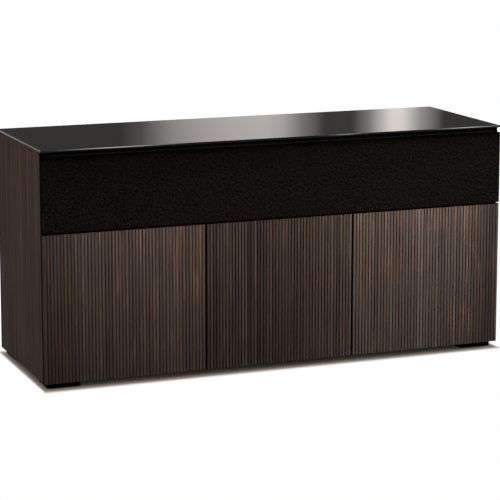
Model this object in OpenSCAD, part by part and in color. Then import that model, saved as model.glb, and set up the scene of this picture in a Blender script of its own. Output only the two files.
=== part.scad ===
// Media cabinet: glass top, cloth-covered drop-down flap over three reeded doors, on block feet.
// Millimetres. X runs along the width, the doors face -Y, Z is up and the floor is at Z = 0.
// The origin is under the middle of the cabinet.

/* [Case] */
// Width over the two veneered side panels
cabinet_w = 1650; // [1500:10:1800]
// Depth from the face of the doors to the back edge of the side panels
cabinet_d = 552; // [480:2:620]
// Thickness of the sides, dividers, bottom board and deck
board_t = 19; // [18:0.5:21]
// Thickness of the board under the glass
top_board_t = 22; // [20:0.5:24]
// Clear width of the middle bay
middle_bay_w = 512; // [480:2:540]
// Bevel on the long show edges of the side panels and doors
edge_bevel = 0.8; // [0.4:0.1:1.2]
// Cable gap between the back panels and the deck and shelves
cable_gap = 32; // [20:1:60]

/* [Glass top] */
// Thickness of the glass
glass_t = 7; // [5:0.5:10]
// How far the glass stands out past each side panel
glass_side_lip = 2; // [0:0.5:6]
// How far the glass stands out past the back edge of the side panels
glass_back_lip = 4; // [0:0.5:8]
// How far the front edge of the glass lies behind the face of the doors
glass_front_inset = 1; // [0:0.5:6]
// Radius of the corners of the glass in plan
glass_corner_r = 3; // [1:0.5:8]
// Width of the ground arris round the glass
glass_arris = 0.8; // [0.4:0.1:1.5]
// Thickness of the clear pads under the glass
glass_pad_t = 1.5; // [1:0.1:3]
// Diameter of the clear pads under the glass
glass_pad_d = 22; // [12:1:40]
// Distance of the clear pads from the edges of the board under the glass
glass_pad_inset = 50; // [30:5:120]

/* [Doors] */
// Height of the doors
door_h = 493; // [440:1:540]
// Thickness of the doors and of the covered flap
door_t = 21; // [20.5:0.1:22.5]
// How far the outer doors and the flap lie inside the faces of the side panels
front_side_inset = 0.5; // [0:0.1:1.5]
// Number of reeds on each outer door
outer_reeds = 48; // [40:1:56]
// Number of reeds on the middle door
middle_reeds = 47; // [40:1:56]
// Width of the groove between two reeds
groove_w = 3.4; // [2.4:0.1:4.4]
// Depth of the groove between two reeds
groove_depth = 3.2; // [2:0.1:3.8]
// Bevel on the long edges of each reed
reed_bevel = 0.9; // [0.4:0.1:1.3]
// Height of the finger bevel along the back of each door's lower edge
pull_bevel_h = 16; // [10:1:24]
// Depth of the finger bevel along the back of each door's lower edge
pull_bevel_d = 9; // [5:0.5:12]

/* [Flap] */
// Height of the drop-down flap
flap_h = 246.5; // [230:0.5:270]
// Height of the finger gap between the flap and the glass
finger_gap = 16.5; // [14:0.5:19]
// Thickness of the acoustic cloth over the frame
cloth_t = 1; // [0.6:0.1:1.6]
// Outer radius of the flap's corners
flap_corner_r = 4; // [3:0.5:8]
// Height of the frame's long rails
flap_rail_h = 42; // [40:1:52]
// Width of the frame's end stiles
flap_stile_w = 46; // [36:1:80]
// Width of the slats between the frame's windows
flap_slat_w = 22; // [14:1:34]
// Number of windows in the frame
flap_windows = 12; // [8:1:16]
// Radius of the corners of the frame's windows
window_r = 6; // [3:0.5:12]

/* [Hinges] */
// Distance of the hinge pin from the edge of the door
pin_inset = 8; // [7.5:0.1:9]
// Distance of the hinge pin from the face of the door
pin_depth = 9.5; // [9:0.1:10]
// Radius of the hinge pin
pin_r = 1; // [0.9:0.05:1.2]
// Running clearance round the hinge pin
pin_clearance = 0.1; // [0.05:0.01:0.1]
// Outer radius of the arm's eye
eye_r = 2; // [1.8:0.05:2.2]
// Thickness of the hinge arm
arm_t = 2; // [1.6:0.1:2.4]
// Width of the hinge arm
arm_w = 8; // [6:0.5:9]
// Length of the arm's seat on its mounting plate
arm_seat_l = 38; // [30:1:50]
// Length of the mounting plate along the board
plate_l = 44; // [36:1:56]
// Width of the mounting plate across the arm
plate_w = 26; // [18:1:36]
// Outer radius of the hinge cup
cup_r = 17.5; // [17:0.25:18]
// Wall of the hinge cup
cup_wall = 0.7; // [0.5:0.1:1]
// Distance from the edge of the door to the cup
cup_tab = 3; // [2.5:0.1:3.5]
// Length of the cup's mounting wings
cup_wing_l = 62; // [52:1:70]
// Width of the cup's mounting wings
cup_wing_w = 15; // [12:0.5:18]
// Thickness of the cup's mounting wings
cup_wing_t = 1; // [0.6:0.1:1.4]
// Distance of the door hinges from the ends of the door
door_hinge_inset = 90; // [60:5:130]
// Distance of the outer flap hinges from the ends of the flap
flap_hinge_inset = 130; // [80:5:220]
// Number of hinges along the flap
flap_hinges = 4; // [3:1:5]

/* [Catches and bumpers] */
// Width of a magnetic catch
catch_w = 40; // [30:1:50]
// Depth of a magnetic catch
catch_d = 22; // [16:1:30]
// Height of a magnetic catch
catch_h = 11; // [8:0.5:14]
// Distance of a door's catch from its free edge
door_catch_inset = 60; // [40:5:120]
// Distance of the flap's catches from its ends
flap_catch_inset = 220; // [120:10:400]
// Thickness of a strike plate
strike_t = 1.2; // [0.8:0.1:1.6]
// Width of a strike plate
strike_w = 34; // [24:1:44]
// Height of a strike plate
strike_h = 9; // [7:0.5:12]
// Diameter of a bumper
bumper_d = 6; // [4:0.5:6.5]
// Distance of the bumpers from the ends of the doors and the flap
bumper_inset = 40; // [30:2:60]

/* [Shelves] */
// Thickness of the adjustable shelves
shelf_t = 16; // [15:0.5:22]
// Hole that the shelves rest on, counted from the lowest
shelf_row = 3; // [1:1:5]
// Number of shelf-clip holes in a column
shelf_rows = 5; // [5:1:7]
// Height of the lowest shelf-clip hole above the bottom board
shelf_first = 150; // [100:5:180]
// Distance from one shelf-clip hole to the next
shelf_step = 32; // [20:1:40]
// Distance of the hole columns from the shelf's front and back edges
shelf_column_inset = 55; // [40:1:90]
// Distance of the shelf's front edge behind the front edge of the case
shelf_front_inset = 20; // [10:1:60]
// Diameter of the shelf-clip pegs
peg_d = 5; // [4:0.5:6]
// Length of the shelf-clip pegs
peg_l = 8; // [6:0.5:8.5]
// Width of a shelf clip
clip_w = 12; // [8:1:16]
// Reach of a shelf clip under its shelf
clip_reach = 11; // [8:0.5:14]
// Thickness of a shelf clip's plate and ledge
clip_t = 1.8; // [1.2:0.1:2.4]

/* [Back panels] */
// Thickness of the back panels
back_t = 9; // [6:0.5:12]
// Gap round each back panel
back_gap = 1; // [0.5:0.1:2]
// Radius of the cable holes in the back panels
cable_hole_r = 30; // [25:1:36]
// Clear radius of the cable grommets
grommet_bore_r = 26; // [20:1:27]
// Width of a grommet's flange outside its hole
grommet_lip = 5; // [3:0.5:8]
// Thickness of a grommet's flange
grommet_lip_t = 2; // [1:0.25:3]
// Height of the lower cable holes above the bottom board
cable_hole_z = 95; // [80:5:130]
// Height of the upper cable holes above the deck
upper_hole_z = 75; // [60:5:90]
// Length of a vent slot
vent_l = 90; // [60:5:120]
// Height of a vent slot
vent_h = 7; // [5:0.5:9]
// Distance from one vent slot to the next
vent_step = 15; // [12:1:20]
// Number of vent slots in a column
vent_rows = 6; // [3:1:7]
// Number of vent columns across a back panel
vent_columns = 3; // [2:1:3]
// Distance from one vent column to the next
vent_column_step = 125; // [115:5:140]

/* [Feet] */
// Height of the cabinet above the floor
foot_h = 22; // [16:1:40]
// Width and depth of a foot
foot_w = 112; // [90:1:130]
// Distance of the feet from the outer faces of the side panels
foot_side_inset = 16; // [8:1:40]
// Distance of the front feet behind the face of the doors
foot_front_inset = 24; // [24:1:60]
// Distance of the rear feet from the back edge of the side panels
foot_back_inset = 4; // [0:1:60]
// Bevel on the upright edges of a foot
foot_bevel = 2; // [1:0.5:5]
// Thickness of the pads under the feet
foot_pad_t = 2; // [1:0.5:4]
// Width and depth of the pads under the feet
foot_pad_w = 100; // [70:1:108]

/* [Fittings] */
// Diameter of a cam lock
cam_d = 15; // [12:0.5:16]
// Diameter of a cam bolt
cam_bolt_d = 6; // [5:0.5:7]
// Length of a cam bolt inside its board
cam_bolt_l = 30; // [24:1:36]
// Depth of a cam bolt in the side panel
cam_bolt_seat = 11; // [9:0.5:13]
// Distance of the cam locks from the front and back edges of their board
cam_inset = 90; // [85:5:140]
// Distance of the divider screws from the front and back edges of the deck
divider_screw_inset = 60; // [40:5:100]
// Shank diameter of the divider screws
divider_screw_d = 6; // [5:0.5:7]
// Length of the divider screws
divider_screw_l = 48; // [40:1:60]
// Head diameter of the divider screws
divider_screw_head_d = 10; // [8:0.5:12]
// Shank diameter of the small screws in the feet and the back panels
small_screw_d = 4; // [3:0.5:5]
// Head diameter of the small screws
small_screw_head_d = 8; // [7:0.5:9.5]
// Head height of the small screws
small_screw_head_h = 2.4; // [1.5:0.1:3]
// Length of a back panel screw under its head
back_screw_l = 25; // [20:1:30]
// Depth of a foot screw in the bottom board
foot_screw_grip = 14; // [10:1:16]
// Distance of the foot screws from the sides of the foot
foot_screw_inset = 22; // [12:1:36]
// Clearance round screws, bolts, pegs and cups in their holes
hole_clearance = 0.1; // [0.05:0.05:0.2]

/* [Hidden] */
$fn = 48;
eps = 0.01;               // overshoot of a cut past the face that it opens
swing_clearance = 0.3;    // air round a door's corner as it swings past the case
edge_clearance = 0.58;    // air between a door's swinging edge and its neighbour
touch_gap = 0.3;          // air between a catch and its strike, and a bumper and its door
cup_floor_gap = 0.2;      // air between the arm's eye and the floor of the cup
arm_dip = 0.6;            // how far the arm dips towards the door's face between eye and bend
arm_straight = 8;         // straight run of the arm behind the front edge of the case
arm_crank = 14;           // run over which a half-overlay arm cranks to its seat
catch_pole_t = 2.4;       // thickness of a catch's steel pole plates
catch_pole_step = 6;      // distance between a catch's two pole plates
cam_slot = [9, 1.6, 2];   // cross slot in a cam lock: length, width, depth
clip_drop = 9;            // how far a shelf clip's plate reaches below its ledge
head_sink = 1;            // how deep the rim of a divider screw's head lies
vent_drop = 45;           // from the deck down to the first row of vents
upper_vent_drop = 30;     // from the top board down to the upper row of vents
grommet_tail = 3;         // how far a grommet's barrel passes the inner face of its panel

// Swing of a door about its pin: the corner radii set the gaps round the doors.
corner_r = sqrt(pow(pin_inset, 2) + pow(door_t - pin_depth, 2));
nose_r = sqrt(pow(pin_inset, 2) + pow(pin_depth, 2));
back_air = corner_r - (door_t - pin_depth) + swing_clearance;
front_gap = nose_r - pin_inset + edge_clearance;

// Planes of the case.
side_x = cabinet_w / 2;
inner_x = side_x - board_t;
divider_x = (middle_bay_w + board_t) / 2;
overall_d = cabinet_d + glass_back_lip;
front_y = -overall_d / 2;
case_y = front_y + door_t + back_air;
back_y = front_y + cabinet_d;
panel_y = back_y - back_t;
case_d = panel_y - case_y;
deck_d = case_d - cable_gap;
shelf_d = deck_d - shelf_front_inset;
case_z = foot_h;
bay_z = case_z + board_t;
door_top_z = case_z + door_h;
flap_z = door_top_z + front_gap;
deck_z = (door_top_z + flap_z - board_t) / 2;
deck_top_z = deck_z + board_t;
flap_top_z = flap_z + flap_h;
glass_z = flap_top_z + finger_gap;
top_board_top_z = glass_z - glass_pad_t;
top_board_z = top_board_top_z - top_board_t;
bay_h = deck_z - bay_z;

// Doors and bays.
middle_door_w = 2 * divider_x - front_gap;
outer_door_w = side_x - front_side_inset - divider_x - front_gap / 2;
flap_w = cabinet_w - 2 * front_side_inset;
outer_bay_w = inner_x - divider_x - board_t / 2;
outer_bay_x = (inner_x + divider_x + board_t / 2) / 2;
half_overlay = (board_t - front_gap) / 2;
full_overlay = board_t - front_side_inset;

// Hinges, in the plane across the pin: u runs in from the door's edge, v back from its face.
arm_u = pin_inset + corner_r + pin_clearance + arm_t / 2;
plate_t = arm_u - arm_t / 2 - full_overlay;
cup_u = cup_tab + cup_r;
cup_depth = door_t - (pin_depth - eye_r - cup_floor_gap - cup_wall);
door_hinge_z = [case_z + door_hinge_inset, door_top_z - door_hinge_inset];
flap_hinge_span = flap_w - 2 * flap_hinge_inset;
flap_hinge_x = [for (i = [0 : flap_hinges - 1]) flap_hinge_span * (i / (flap_hinges - 1) - 0.5)];

// Catches, bumpers and shelf clips.
catch_y = front_y + door_t + strike_t + touch_gap;
left_catch_x = -divider_x - front_gap / 2 - door_catch_inset;
middle_catch_x = middle_door_w / 2 - door_catch_inset;
flap_catch_x = flap_w / 2 - flap_catch_inset;
bumper_t = back_air - touch_gap;
bumper_z = [case_z + bumper_inset, door_top_z - bumper_inset];
shelf_y = case_y + shelf_front_inset;
clip_z = bay_z + shelf_first + (shelf_row - 1) * shelf_step;
shelf_z = clip_z + peg_d / 2 + clip_t;
column_y = [shelf_y + shelf_column_inset, shelf_y + shelf_d - shelf_column_inset];
bay_walls = [
    [-inner_x, 1], [-divider_x - board_t / 2, -1],
    [-divider_x + board_t / 2, 1], [divider_x - board_t / 2, -1],
    [divider_x + board_t / 2, 1], [inner_x, -1]
];

// Feet and fittings.
foot_x = side_x - foot_side_inset - foot_w / 2;
foot_front_y = front_y + foot_front_inset + foot_w / 2;
foot_back_y = back_y - foot_back_inset - foot_w / 2;
foot_screw_at = foot_w / 2 - foot_screw_inset;
foot_head_z = foot_h / 2;
cam_x = inner_x - cam_bolt_l;
cam_h = board_t / 2 + cam_bolt_d / 2 + 1;
cam_y = [case_y + cam_inset, case_y + deck_d - cam_inset];
countersink_z = head_sink + (divider_screw_head_d - divider_screw_d) / 2;
divider_screw_y = [case_y + divider_screw_inset, case_y + deck_d - divider_screw_inset];
back_screw_inset = 40;
panel_z = case_z + back_gap;
panel_h = top_board_top_z - case_z - 2 * back_gap;
vent_z = deck_z - vent_drop;
upper_vent_z = top_board_z - upper_vent_drop;

// ---------------------------------------------------------------- shared shapes

// Rectangle with round corners, centred on its middle.
module round_rect(w, h, r) {
    square([w - 2 * r, h], center = true);
    square([w, h - 2 * r], center = true);
    for (x = [-1, 1], y = [-1, 1])
        translate([x * (w / 2 - r), y * (h / 2 - r)]) circle(r);
}

// Rectangle from the origin with all four corners bevelled.
module bevelled_rect(w, d, b) {
    polygon([[b, 0], [w - b, 0], [w, b], [w, d - b], [w - b, d], [b, d], [0, d - b], [0, b]]);
}

// Strip of even width along a line of points, with round joints.
module strip(points, t) {
    for (i = [0 : len(points) - 2]) {
        run = points[i + 1] - points[i];
        translate(points[i]) rotate(atan2(run[1], run[0]))
            translate([0, -t / 2]) square([norm(run), t]);
        translate(points[i + 1]) circle(d = t);
    }
}

// Screw with its axis on Z: the head lies above the origin and the shank below.
module screw(head_d, head_h, shank_d, shank_l) {
    rotate_extrude()
        polygon([
            [0, -shank_l], [shank_d / 4, -shank_l], [shank_d / 2, -shank_l + shank_d / 2],
            [shank_d / 2, 0], [head_d / 2, 0], [head_d / 2, head_h * 0.4],
            [head_d / 2 - head_h * 0.6, head_h], [0, head_h]
        ]);
}

// Hole for that screw's shank, open past both ends by eps.
module screw_hole(shank_d, shank_l) {
    translate([0, 0, -shank_l]) cylinder(d = shank_d + 2 * hole_clearance, h = shank_l + eps);
}

// ---------------------------------------------------------------- where things sit

module each_cam() {
    for (s = [-1, 1], y = cam_y)
        translate([s * cam_x, y, 0]) rotate(s > 0 ? 0 : 180) children();
}

module each_cam_board() {
    for (z = [case_z, deck_z, top_board_z]) translate([0, 0, z]) children();
}

module each_divider_screw() {
    for (x = [-divider_x, divider_x], y = divider_screw_y) {
        translate([x, y, deck_top_z]) children();
        translate([x, y, case_z]) mirror([0, 0, 1]) children();
    }
}

module each_foot() {
    for (x = [-foot_x, foot_x], y = [foot_front_y, foot_back_y]) translate([x, y, 0]) children();
}

module each_foot_screw() {
    for (s = [-1, 1]) translate([s * foot_screw_at, 0, foot_head_z]) mirror([0, 0, 1]) children();
}

// Children are drawn once per shelf clip, with +X pointing into the bay.
module each_clip() {
    for (wall = bay_walls, y = column_y)
        translate([wall[0], y, clip_z]) mirror([wall[1] < 0 ? 1 : 0, 0, 0]) children();
}

// Children are drawn in hinge axes: X is u, Y is v and Z lies along the pin.
module at_left_hinges() {
    for (z = door_hinge_z) translate([-side_x + front_side_inset, front_y, z]) children();
}

module at_middle_hinges() {
    for (z = door_hinge_z) translate([-middle_door_w / 2, front_y, z]) children();
}

module at_right_hinges() {
    mirror([1, 0, 0]) at_left_hinges() children();
}

module at_flap_hinges() {
    for (x = flap_hinge_x) translate([x, front_y, flap_z]) rotate([0, -90, 0]) children();
}

module each_back_screw(x0, x1) {
    for (x = [x0 + back_screw_inset, x1 - back_screw_inset],
         z = [case_z + board_t / 2, top_board_z + top_board_t / 2])
        translate([x, back_y, z]) rotate([-90, 0, 0]) children();
}

module each_cable_hole() {
    for (x = [-outer_bay_x, 0, outer_bay_x], z = [bay_z + cable_hole_z, deck_top_z + upper_hole_z])
        translate([x, panel_y, z]) rotate([-90, 0, 0]) children();
}

// ---------------------------------------------------------------- case

// Left side panel: veneered board with the clip holes and cam-bolt holes on its inner face.
module side_panel() {
    difference() {
        translate([-side_x, case_y, case_z])
            linear_extrude(glass_z - case_z)
                bevelled_rect(board_t, back_y - case_y, edge_bevel);
        translate([0, 0, bay_z + shelf_first])
            for (y = column_y, i = [0 : shelf_rows - 1])
                translate([-inner_x - peg_l - hole_clearance, y, i * shelf_step])
                    rotate([0, 90, 0])
                        cylinder(d = peg_d + 2 * hole_clearance, h = peg_l + hole_clearance + eps);
        for (z = [case_z, deck_z, top_board_z], y = cam_y)
            translate([-inner_x - cam_bolt_seat - hole_clearance, y, z + board_t / 2])
                rotate([0, 90, 0])
                    cylinder(d = cam_bolt_d + 2 * hole_clearance, h = cam_bolt_seat + 1);
    }
}

module side_left() {
    color([0.22, 0.17, 0.15]) side_panel();
}

module side_right() {
    color([0.22, 0.17, 0.15]) mirror([1, 0, 0]) side_panel();
}

// Horizontal board between the sides, bored for its cam locks, with its underside at Z = 0.
module carcass_board(depth, t) {
    difference() {
        translate([-inner_x, case_y, 0]) cube([2 * inner_x, depth, t]);
        each_cam() {
            translate([0, 0, -eps]) cylinder(d = cam_d + 2 * hole_clearance, h = cam_h + eps);
            translate([0, 0, board_t / 2]) rotate([0, 90, 0])
                cylinder(d = cam_bolt_d + 2 * hole_clearance, h = cam_bolt_l + 1);
        }
    }
}

module divider_screw_holes() {
    shank = divider_screw_d + 2 * hole_clearance;
    head = divider_screw_head_d + 2 * hole_clearance;
    each_divider_screw() {
        screw_hole(divider_screw_d, divider_screw_l);
        translate([0, 0, -countersink_z]) cylinder(d1 = shank, d2 = head, h = countersink_z - head_sink);
        translate([0, 0, -head_sink]) cylinder(d = head, h = head_sink + eps);
    }
}

module bottom_board() {
    color([0.05, 0.05, 0.05]) difference() {
        translate([0, 0, case_z]) carcass_board(case_d, board_t);
        divider_screw_holes();
        each_foot() each_foot_screw() screw_hole(small_screw_d, foot_head_z + foot_screw_grip);
        for (s = [-1, 0, 1]) back_screws_of(s) screw_hole(small_screw_d, back_screw_l);
    }
}

module deck_board() {
    color([0.05, 0.05, 0.05]) difference() {
        translate([0, 0, deck_z]) carcass_board(deck_d, board_t);
        divider_screw_holes();
    }
}

module top_board() {
    color([0.05, 0.05, 0.05]) difference() {
        translate([0, 0, top_board_z]) carcass_board(case_d, top_board_t);
        for (s = [-1, 0, 1]) back_screws_of(s) screw_hole(small_screw_d, back_screw_l);
    }
}

// Upright divider between two bays, with clip holes right through.
module divider(x) {
    color([0.05, 0.05, 0.05]) difference() {
        translate([x - board_t / 2, case_y, bay_z]) cube([board_t, case_d, bay_h]);
        translate([0, 0, bay_z + shelf_first])
            for (y = column_y, i = [0 : shelf_rows - 1])
                translate([x - board_t / 2 - eps, y, i * shelf_step]) rotate([0, 90, 0])
                    cylinder(d = peg_d + 2 * hole_clearance, h = board_t + 2 * eps);
        divider_screw_holes();
    }
}

module divider_left() { divider(-divider_x); }

module divider_right() { divider(divider_x); }

// ---------------------------------------------------------------- back

// Edges of the left, middle and right back panel: bay is -1, 0 or 1.
function panel_x0(bay) = bay < 0 ? -inner_x + back_gap : (bay == 0 ? -divider_x : divider_x) + back_gap / 2;
function panel_x1(bay) = -panel_x0(-bay);

module back_screws_of(bay) {
    each_back_screw(panel_x0(bay), panel_x1(bay)) children();
}

// Columns of round-ended vent slots, hanging down from the height z.
module vents(z) {
    for (column = [0 : vent_columns - 1], row = [0 : vent_rows - 1])
        translate([(column - (vent_columns - 1) / 2) * vent_column_step, z - row * vent_step])
            round_rect(vent_l, vent_h, vent_h / 2 - eps);
}

module back_panel(bay) {
    x0 = panel_x0(bay);
    x1 = panel_x1(bay);
    color([0.06, 0.06, 0.06]) difference() {
        translate([0, back_y, 0]) rotate([90, 0, 0]) linear_extrude(back_t) difference() {
            translate([x0, panel_z]) square([x1 - x0, panel_h]);
            translate([bay * outer_bay_x, 0]) {
                vents(vent_z);
                vents(upper_vent_z);
            }
        }
        each_cable_hole() translate([0, 0, -eps])
            cylinder(r = cable_hole_r + hole_clearance, h = back_t + 2 * eps);
        back_screws_of(bay) screw_hole(small_screw_d, back_screw_l);
    }
}

module back_panel_left() { back_panel(-1); }

module back_panel_middle() { back_panel(0); }

module back_panel_right() { back_panel(1); }

module back_panel_screws() {
    color([0.1, 0.1, 0.1]) for (bay = [-1, 0, 1])
        back_screws_of(bay)
            screw(small_screw_head_d, small_screw_head_h, small_screw_d, back_screw_l);
}

// Ring that lines a cable hole, with its flange on the outside of the back panel.
module cable_grommets() {
    color([0.03, 0.03, 0.03]) each_cable_hole()
        rotate_extrude($fn = 72) polygon([
            [grommet_bore_r, -grommet_tail], [cable_hole_r, -grommet_tail], [cable_hole_r, back_t],
            [cable_hole_r + grommet_lip, back_t],
            [cable_hole_r + grommet_lip, back_t + grommet_lip_t / 2],
            [cable_hole_r + grommet_lip / 2, back_t + grommet_lip_t],
            [grommet_bore_r + grommet_lip_t / 2, back_t + grommet_lip_t],
            [grommet_bore_r, back_t + grommet_lip_t / 2]
        ]);
}

// ---------------------------------------------------------------- shelves

module shelf(x, bay_w) {
    color([0.05, 0.05, 0.05]) translate([x - bay_w / 2 + clip_t + touch_gap, shelf_y, shelf_z])
        cube([bay_w - 2 * (clip_t + touch_gap), shelf_d, shelf_t]);
}

module shelf_left() { shelf(-outer_bay_x, outer_bay_w); }

module shelf_middle() { shelf(0, middle_bay_w); }

module shelf_right() { shelf(outer_bay_x, outer_bay_w); }

// Pressed steel clip: peg in the wall, plate against it and a ledge under the shelf.
module shelf_clips() {
    color([0.7, 0.7, 0.7]) each_clip() {
        translate([-peg_l, 0, 0]) rotate([0, 90, 0]) cylinder(d = peg_d, h = peg_l + eps);
        rotate([90, 0, 0]) linear_extrude(clip_w, center = true) union() {
            translate([0, -clip_drop]) square([clip_t, clip_drop + peg_d / 2 + clip_t]);
            translate([0, peg_d / 2]) square([clip_reach, clip_t]);
            polygon([[clip_t - eps, -clip_drop / 2], [clip_reach * 0.6, peg_d / 2 + eps],
                     [clip_t - eps, peg_d / 2 + eps]]);
        }
    }
}

// ---------------------------------------------------------------- glass top

module glass_top() {
    glass_w = cabinet_w + 2 * glass_side_lip;
    glass_d = overall_d - glass_front_inset;
    glass_y = front_y + glass_front_inset + glass_d / 2;
    color([0.03, 0.03, 0.03]) translate([0, glass_y, glass_z]) intersection() {
        linear_extrude(glass_t) round_rect(glass_w, glass_d, glass_corner_r);
        rotate([90, 0, 0]) linear_extrude(glass_d + 2, center = true)
            translate([-glass_w / 2, 0]) bevelled_rect(glass_w, glass_t, glass_arris);
        rotate([90, 0, 90]) linear_extrude(glass_w + 2, center = true)
            translate([-glass_d / 2, 0]) bevelled_rect(glass_d, glass_t, glass_arris);
    }
}

module glass_pads() {
    pad_span_x = 2 * (inner_x - glass_pad_inset);
    pad_span_y = case_d - 2 * glass_pad_inset;
    color([0.8, 0.8, 0.8]) for (i = [-1.5 : 1 : 1.5], j = [-0.5, 0.5])
        translate([i * pad_span_x / 3, case_y + case_d / 2 + j * pad_span_y, top_board_top_z])
            cylinder(d = glass_pad_d, h = glass_pad_t);
}

// ---------------------------------------------------------------- feet

// Block foot with bevelled upright edges and two counterbored screw holes.
module foot(x, y) {
    color([0.02, 0.02, 0.02]) translate([x, y, 0]) difference() {
        translate([-foot_w / 2, -foot_w / 2, foot_pad_t])
            linear_extrude(foot_h - foot_pad_t) bevelled_rect(foot_w, foot_w, foot_bevel);
        each_foot_screw() {
            screw_hole(small_screw_d, foot_h);
            cylinder(d = small_screw_head_d + 4 * hole_clearance, h = foot_h);
        }
    }
}

module foot_front_left() { foot(-foot_x, foot_front_y); }

module foot_front_right() { foot(foot_x, foot_front_y); }

module foot_back_left() { foot(-foot_x, foot_back_y); }

module foot_back_right() { foot(foot_x, foot_back_y); }

module foot_pads() {
    color([0.15, 0.15, 0.15]) each_foot() linear_extrude(foot_pad_t)
        round_rect(foot_pad_w, foot_pad_w, foot_bevel);
}

module foot_screws() {
    color([0.6, 0.6, 0.6]) each_foot() each_foot_screw()
        screw(small_screw_head_d, small_screw_head_h, small_screw_d,
              foot_h - foot_head_z + foot_screw_grip);
}

// ---------------------------------------------------------------- fittings

// Cam lock in the underside of a board: a disc with a cross slot and a side bore for its bolt.
module cam_locks() {
    color([0.65, 0.65, 0.65]) each_cam_board() each_cam() difference() {
        cylinder(d = cam_d, h = cam_h);
        translate([0, 0, board_t / 2]) rotate([0, 90, 0])
            cylinder(d = cam_bolt_d + 2 * hole_clearance, h = cam_d);
        for (a = [0, 90]) rotate(a) translate([-cam_slot[0] / 2, -cam_slot[1] / 2, -eps])
            cube([cam_slot[0], cam_slot[1], cam_slot[2]]);
    }
}

module cam_bolts() {
    color([0.7, 0.7, 0.7]) each_cam_board() each_cam()
        translate([touch_gap, 0, board_t / 2]) rotate([0, 90, 0])
            cylinder(d = cam_bolt_d, h = cam_bolt_l - touch_gap + cam_bolt_seat);
}

module divider_screws() {
    head = divider_screw_head_d;
    shank = divider_screw_d;
    color([0.6, 0.6, 0.6]) each_divider_screw() rotate_extrude() polygon([
        [0, -divider_screw_l + 1], [shank / 4, -divider_screw_l + 1],
        [shank / 2, -divider_screw_l + shank], [shank / 2, -countersink_z],
        [head / 2, -head_sink], [head / 2, -touch_gap], [0, -touch_gap]
    ]);
}

// ---------------------------------------------------------------- hinges

// Mounting plate, seated on the board that lies overlay in from the door's edge.
module mounting_plate(overlay) {
    plate_v = door_t + back_air + arm_straight + arm_crank - (plate_l - arm_seat_l) / 2;
    translate([overlay, plate_v + plate_l / 2, 0]) rotate([0, 90, 0])
        linear_extrude(plate_t) {
            round_rect(arm_w + 2, plate_l, 2);
            translate([0, -plate_l / 6]) round_rect(plate_w, plate_l / 3, 2);
        }
}

// Arm: eye on the pin, round the swinging corner of the door, then cranked to its seat.
module hinge_arm(overlay) {
    seat_u = overlay + plate_t + arm_t / 2;
    bend_v = door_t + back_air + arm_straight;
    linear_extrude(arm_w, center = true) difference() {
        union() {
            translate([pin_inset, pin_depth]) circle(eye_r);
            strip([
                [pin_inset, pin_depth - arm_dip / 2], [arm_u, pin_depth - arm_dip],
                [arm_u, bend_v], [seat_u, bend_v + arm_crank],
                [seat_u, bend_v + arm_crank + arm_seat_l]
            ], arm_t);
        }
        translate([pin_inset, pin_depth]) circle(pin_r + pin_clearance);
    }
}

// Cup with its pin across the mouth and its mounting wings on the back of the door.
module hinge_cup() {
    pin_at = cup_u - pin_inset;
    pin_half = sqrt(pow(cup_r - cup_wall / 2, 2) - pow(pin_at, 2));
    translate([cup_u, door_t, 0]) rotate([-90, 0, 0]) {
        difference() {
            union() {
                translate([0, 0, -cup_depth]) cylinder(r = cup_r, h = cup_depth + cup_wing_t);
                translate([cup_wing_w / 3, 0, 0]) linear_extrude(cup_wing_t)
                    round_rect(cup_wing_w, cup_wing_l, 3);
            }
            translate([0, 0, cup_wall - cup_depth])
                cylinder(r = cup_r - cup_wall, h = cup_depth + cup_wing_t);
        }
        translate([-pin_at, 0, pin_depth - door_t]) rotate([90, 0, 0])
            cylinder(r = pin_r, h = 2 * pin_half, center = true);
    }
}

module cup_bore() {
    translate([cup_u, door_t, 0]) rotate([-90, 0, 0]) translate([0, 0, -cup_depth - hole_clearance])
        cylinder(r = cup_r + hole_clearance, h = cup_depth + hole_clearance + eps);
}

module hinge_plates() {
    color([0.7, 0.7, 0.7]) {
        at_left_hinges() mounting_plate(full_overlay);
        at_right_hinges() mounting_plate(full_overlay);
        at_middle_hinges() mounting_plate(half_overlay);
        at_flap_hinges() mounting_plate(half_overlay);
    }
}

module hinge_arms() {
    color([0.75, 0.75, 0.75]) {
        at_left_hinges() hinge_arm(full_overlay);
        at_right_hinges() hinge_arm(full_overlay);
        at_middle_hinges() hinge_arm(half_overlay);
        at_flap_hinges() hinge_arm(half_overlay);
    }
}

// ---------------------------------------------------------------- doors

// Cut between two reeds: a round-bottomed groove that opens in two bevels at the face.
module reed_groove() {
    half = groove_w / 2;
    polygon([
        [-half - reed_bevel, -eps], [half + reed_bevel, -eps], [half, reed_bevel],
        [half, groove_depth - half], [-half, groove_depth - half], [-half, reed_bevel]
    ]);
    translate([0, groove_depth - half]) circle(half, $fn = 24);
}

// Reeded door of width w, from its left edge, face and lower edge. Half a groove runs down
// each upright edge, so the outermost reeds are as wide as the others.
module door_board(w, reeds) {
    difference() {
        linear_extrude(door_h) difference() {
            bevelled_rect(w, door_t, edge_bevel);
            for (i = [0 : reeds]) translate([w * i / reeds, 0]) reed_groove();
        }
        translate([-1, door_t, 0]) rotate([90, 0, 90]) linear_extrude(w + 2)
            polygon([[eps, -eps], [-pull_bevel_d, -eps], [eps, pull_bevel_h]]);
    }
}

module strike_plate(x, z) {
    color([0.7, 0.7, 0.7]) translate([x, front_y + door_t, z - catch_h / 2]) rotate([-90, 0, 0])
        linear_extrude(strike_t) difference() {
            round_rect(strike_w, strike_h, 2);
            circle(d = small_screw_d);
        }
}

module door_left() {
    color([0.25, 0.2, 0.17]) difference() {
        translate([-side_x + front_side_inset, front_y, case_z]) door_board(outer_door_w, outer_reeds);
        at_left_hinges() cup_bore();
    }
}

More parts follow.
